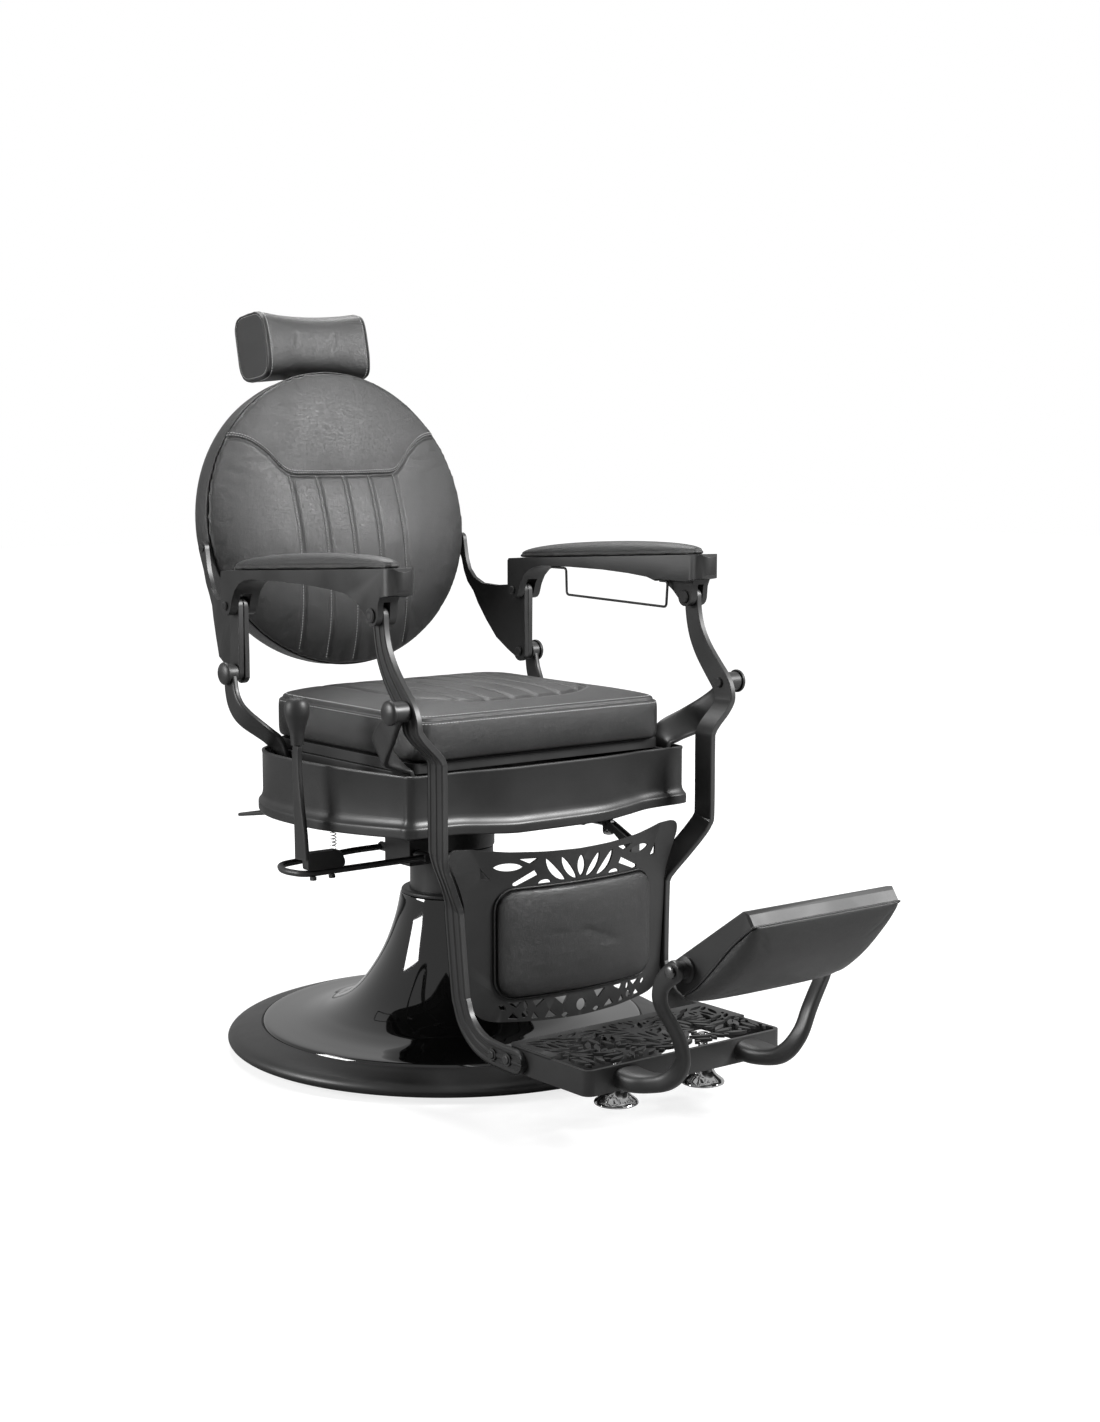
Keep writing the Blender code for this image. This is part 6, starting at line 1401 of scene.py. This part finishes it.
def build_seat_cushion():
    low = 0.47 + GAP + 0.0155 + GAP
    seam, crown = 0.548, 0.575

    def outline(inset, steps=12):
        front = max(0.03 - inset * 0.2, 0.012)
        rear = max(0.056 - inset * 0.3, 0.012)
        return rounded_box(-SEAT_HALF + inset, SEAT_HALF - inset, SEAT_FRONT + inset, SEAT_REAR - inset,
                           (front, rear, rear, front), steps)

    levels = ((0.01, low), (0.0045, low + 0.004), (0.0035, low + 0.012), (0.0035, seam - 0.012),
              (0.0045, seam - 0.004), (0.0065, seam), (0.014, seam + 0.0045), (0.03, seam + 0.0085),
              (0.055, seam + 0.0135), (0.085, seam + 0.0175), (0.12, crown - 0.0075), (0.15, crown - 0.006),
              (0.18, crown - 0.0055))
    rings = [[Vector((x, y, z)) for x, y in outline(inset)] for inset, z in levels]
    cushion = make_object("seat_cushion_leather", add_rings(bmesh.new(), rings), LEATHER)

    def hold(points):
        bottom = np.where(points[:, 2] < low + 0.006, 1.0, 0.0)
        edge = np.minimum(SEAT_HALF - np.abs(points[:, 0]),
                          np.minimum(points[:, 1] - SEAT_FRONT, SEAT_REAR - points[:, 1]))
        rim = np.exp(-((points[:, 2] - seam) / 0.005) ** 2) * (edge < 0.022) * 0.9
        return np.maximum(bottom, rim)

    inflate(cushion, 0.005, 0.0085, hold)

    def on_top(points, lift=0.0):
        return lay(cushion, [(x, y, 0.7) for x, y in points], (0, 0, -1), lift)

    panel = [(-0.152, 0.165), (-0.154, 0.05), (-0.154, -0.1), (-0.15, -0.132), (-0.134, -0.16),
             (-0.108, -0.178), (-0.075, -0.187), (0.0, -0.19), (0.075, -0.187), (0.108, -0.178),
             (0.134, -0.16), (0.15, -0.132), (0.154, -0.1), (0.154, 0.05), (0.152, 0.165)]
    panel = smooth_path(panel, 14)
    channels = []
    for x in (-0.11, -0.066, -0.022, 0.022, 0.066, 0.11):
        front = -0.189 if abs(x) < 0.07 else -0.1765
        channels.append([(x, front + (0.168 - front) * i / 60) for i in range(61)])
    laid = [[p for p, _ in on_top(line)] for line in channels]
    panel_laid = [p for p, _ in on_top(panel)]

    def around(z, lift=0.0):
        points = outline(-0.03, 24)
        ring = [(x, y, z) for x, y in finely(points, 0.006)]
        ring.append(ring[0])
        inward = [(Vector((min(max(x, -0.19), 0.19), min(max(y, -0.205), 0.125), z))
                   - Vector((x, y, z))).normalized() for x, y, z in ring]
        return lay(cushion, ring, inward, lift)

    rim = [p for p, _ in around(seam - 0.001)]
    press(cushion, laid, 0.0034, 0.005)
    press(cushion, [panel_laid], 0.0038, 0.0046)
    press(cushion, [rim], 0.0026, 0.0026)
    seat_piece(cushion, "seat", ("seat_cushion",))
    rows = [on_top([(x + 0.0032, y) for x, y in line], 0.0001) for line in channels]
    rows.append(on_top([(x * 1.03, y * 1.028 if y < 0 else y) for x, y in panel], 0.0001))
    stitches("seat_channel_stitches", [part for row in rows for part in split_lines(row)], "seat",
             DARK_THREAD)
    rows = [around(seam - 0.006, 0.0001), around(seam + 0.0035, 0.0001)]
    stitches("seat_rim_stitches", [part for row in rows for part in split_lines(row)], "seat")


# ---------------------------------------------------------------- floor, light and camera
CAMERA_PLACE = (-2.011, -2.809, 0.955)
CAMERA_TARGET = (0.0721, -0.1565, 0.5312)
LENS_MM, SENSOR_MM = 56.96, 36.0
LAMPS = (  # name, place, target, size and power in watts
    ("key", (2.0, -3.0, 2.7), (0.0, 0.1, 0.7), 1.4, 290.0),
    ("side", (-3.1, 1.1, 1.4), (0.0, 0.0, 0.5), 1.3, 95.0),
    ("top", (0.3, 1.0, 3.0), (0.0, 0.0, 0.5), 1.5, 85.0),
)


def build_studio():
    scene = bpy.context.scene
    material = bpy.data.materials.new("studio_floor")
    material.use_nodes = True
    tree = material.node_tree
    shader = tree.nodes["Principled BSDF"]
    place = add_node(tree, "ShaderNodeTexCoord").outputs["Object"]
    shader.inputs["Specular IOR Level"].default_value = 0.1
    tone = blend_colours(tree, noise_at(tree, place, 1.3, 2.0), (0.27, 0.27, 0.27), (0.29, 0.29, 0.29))
    tree.links.new(tone, shader.inputs["Base Color"])
    tree.links.new(spread_to(tree, noise_at(tree, place, 30.0), 0.75, 0.85), shader.inputs["Roughness"])
    away = add_node(tree, "ShaderNodeVectorMath", {0: place}, operation="LENGTH")
    glow = spread_to(tree, away.outputs["Value"], 0.8, 1.05, 0.8, 1.8)
    path = add_node(tree, "ShaderNodeLightPath")
    lift = add_node(tree, "ShaderNodeMath", {0: path.outputs["Is Camera Ray"], 1: glow},
                    operation="MULTIPLY")
    shader.inputs["Emission Color"].default_value = (1.0, 1.0, 1.0, 1.0)
    tree.links.new(lift.outputs[0], shader.inputs["Emission Strength"])
    edit = bmesh.new()
    bmesh.ops.create_grid(edit, x_segments=8, y_segments=8, size=14.0)
    floor = make_object("floor", edit, material)

    world = bpy.data.worlds.new("studio")
    scene.world = world
    world.use_nodes = True
    tree = world.node_tree
    ground = tree.nodes["Background"]
    path = add_node(tree, "ShaderNodeLightPath")
    sheen = add_node(tree, "ShaderNodeMath", {0: path.outputs["Is Glossy Ray"], 1: 0.4},
                     operation="MULTIPLY")
    seen = add_node(tree, "ShaderNodeMath", {0: path.outputs["Is Camera Ray"], 1: sheen.outputs[0]},
                    operation="MAXIMUM")
    level = spread_to(tree, seen.outputs[0], 0.06, 1.0, 0.0, 1.0)
    ground.inputs["Color"].default_value = (1.0, 1.0, 1.0, 1.0)
    tree.links.new(level, ground.inputs["Strength"])

    for name, place, target, size, power in LAMPS:
        lamp = bpy.data.lights.new(name, "AREA")
        lamp.shape = "SQUARE"
        lamp.size = size
        lamp.energy = power
        thing = bpy.data.objects.new(name, lamp)
        scene.collection.objects.link(thing)
        thing.location = place
        thing.rotation_euler = (Vector(target) - Vector(place)).to_track_quat("-Z", "Y").to_euler()

    camera = bpy.data.cameras.new("camera")
    camera.sensor_width = SENSOR_MM
    camera.lens = LENS_MM
    camera.clip_start = 0.05
    camera.clip_end = 60.0
    thing = bpy.data.objects.new("camera", camera)
    scene.collection.objects.link(thing)
    eye = Vector(CAMERA_PLACE)
    thing.location = eye
    thing.rotation_euler = (Vector(CAMERA_TARGET) - eye).to_track_quat("-Z", "Y").to_euler()
    scene.camera = thing
    scene.view_settings.view_transform = "Standard"


build_base()
build_skirt()
build_brackets()
build_lever()
build_seat_cushion()
build_back()
build_headrest()
build_armrests()
build_legs()
build_tread()
build_calf()
build_studio()
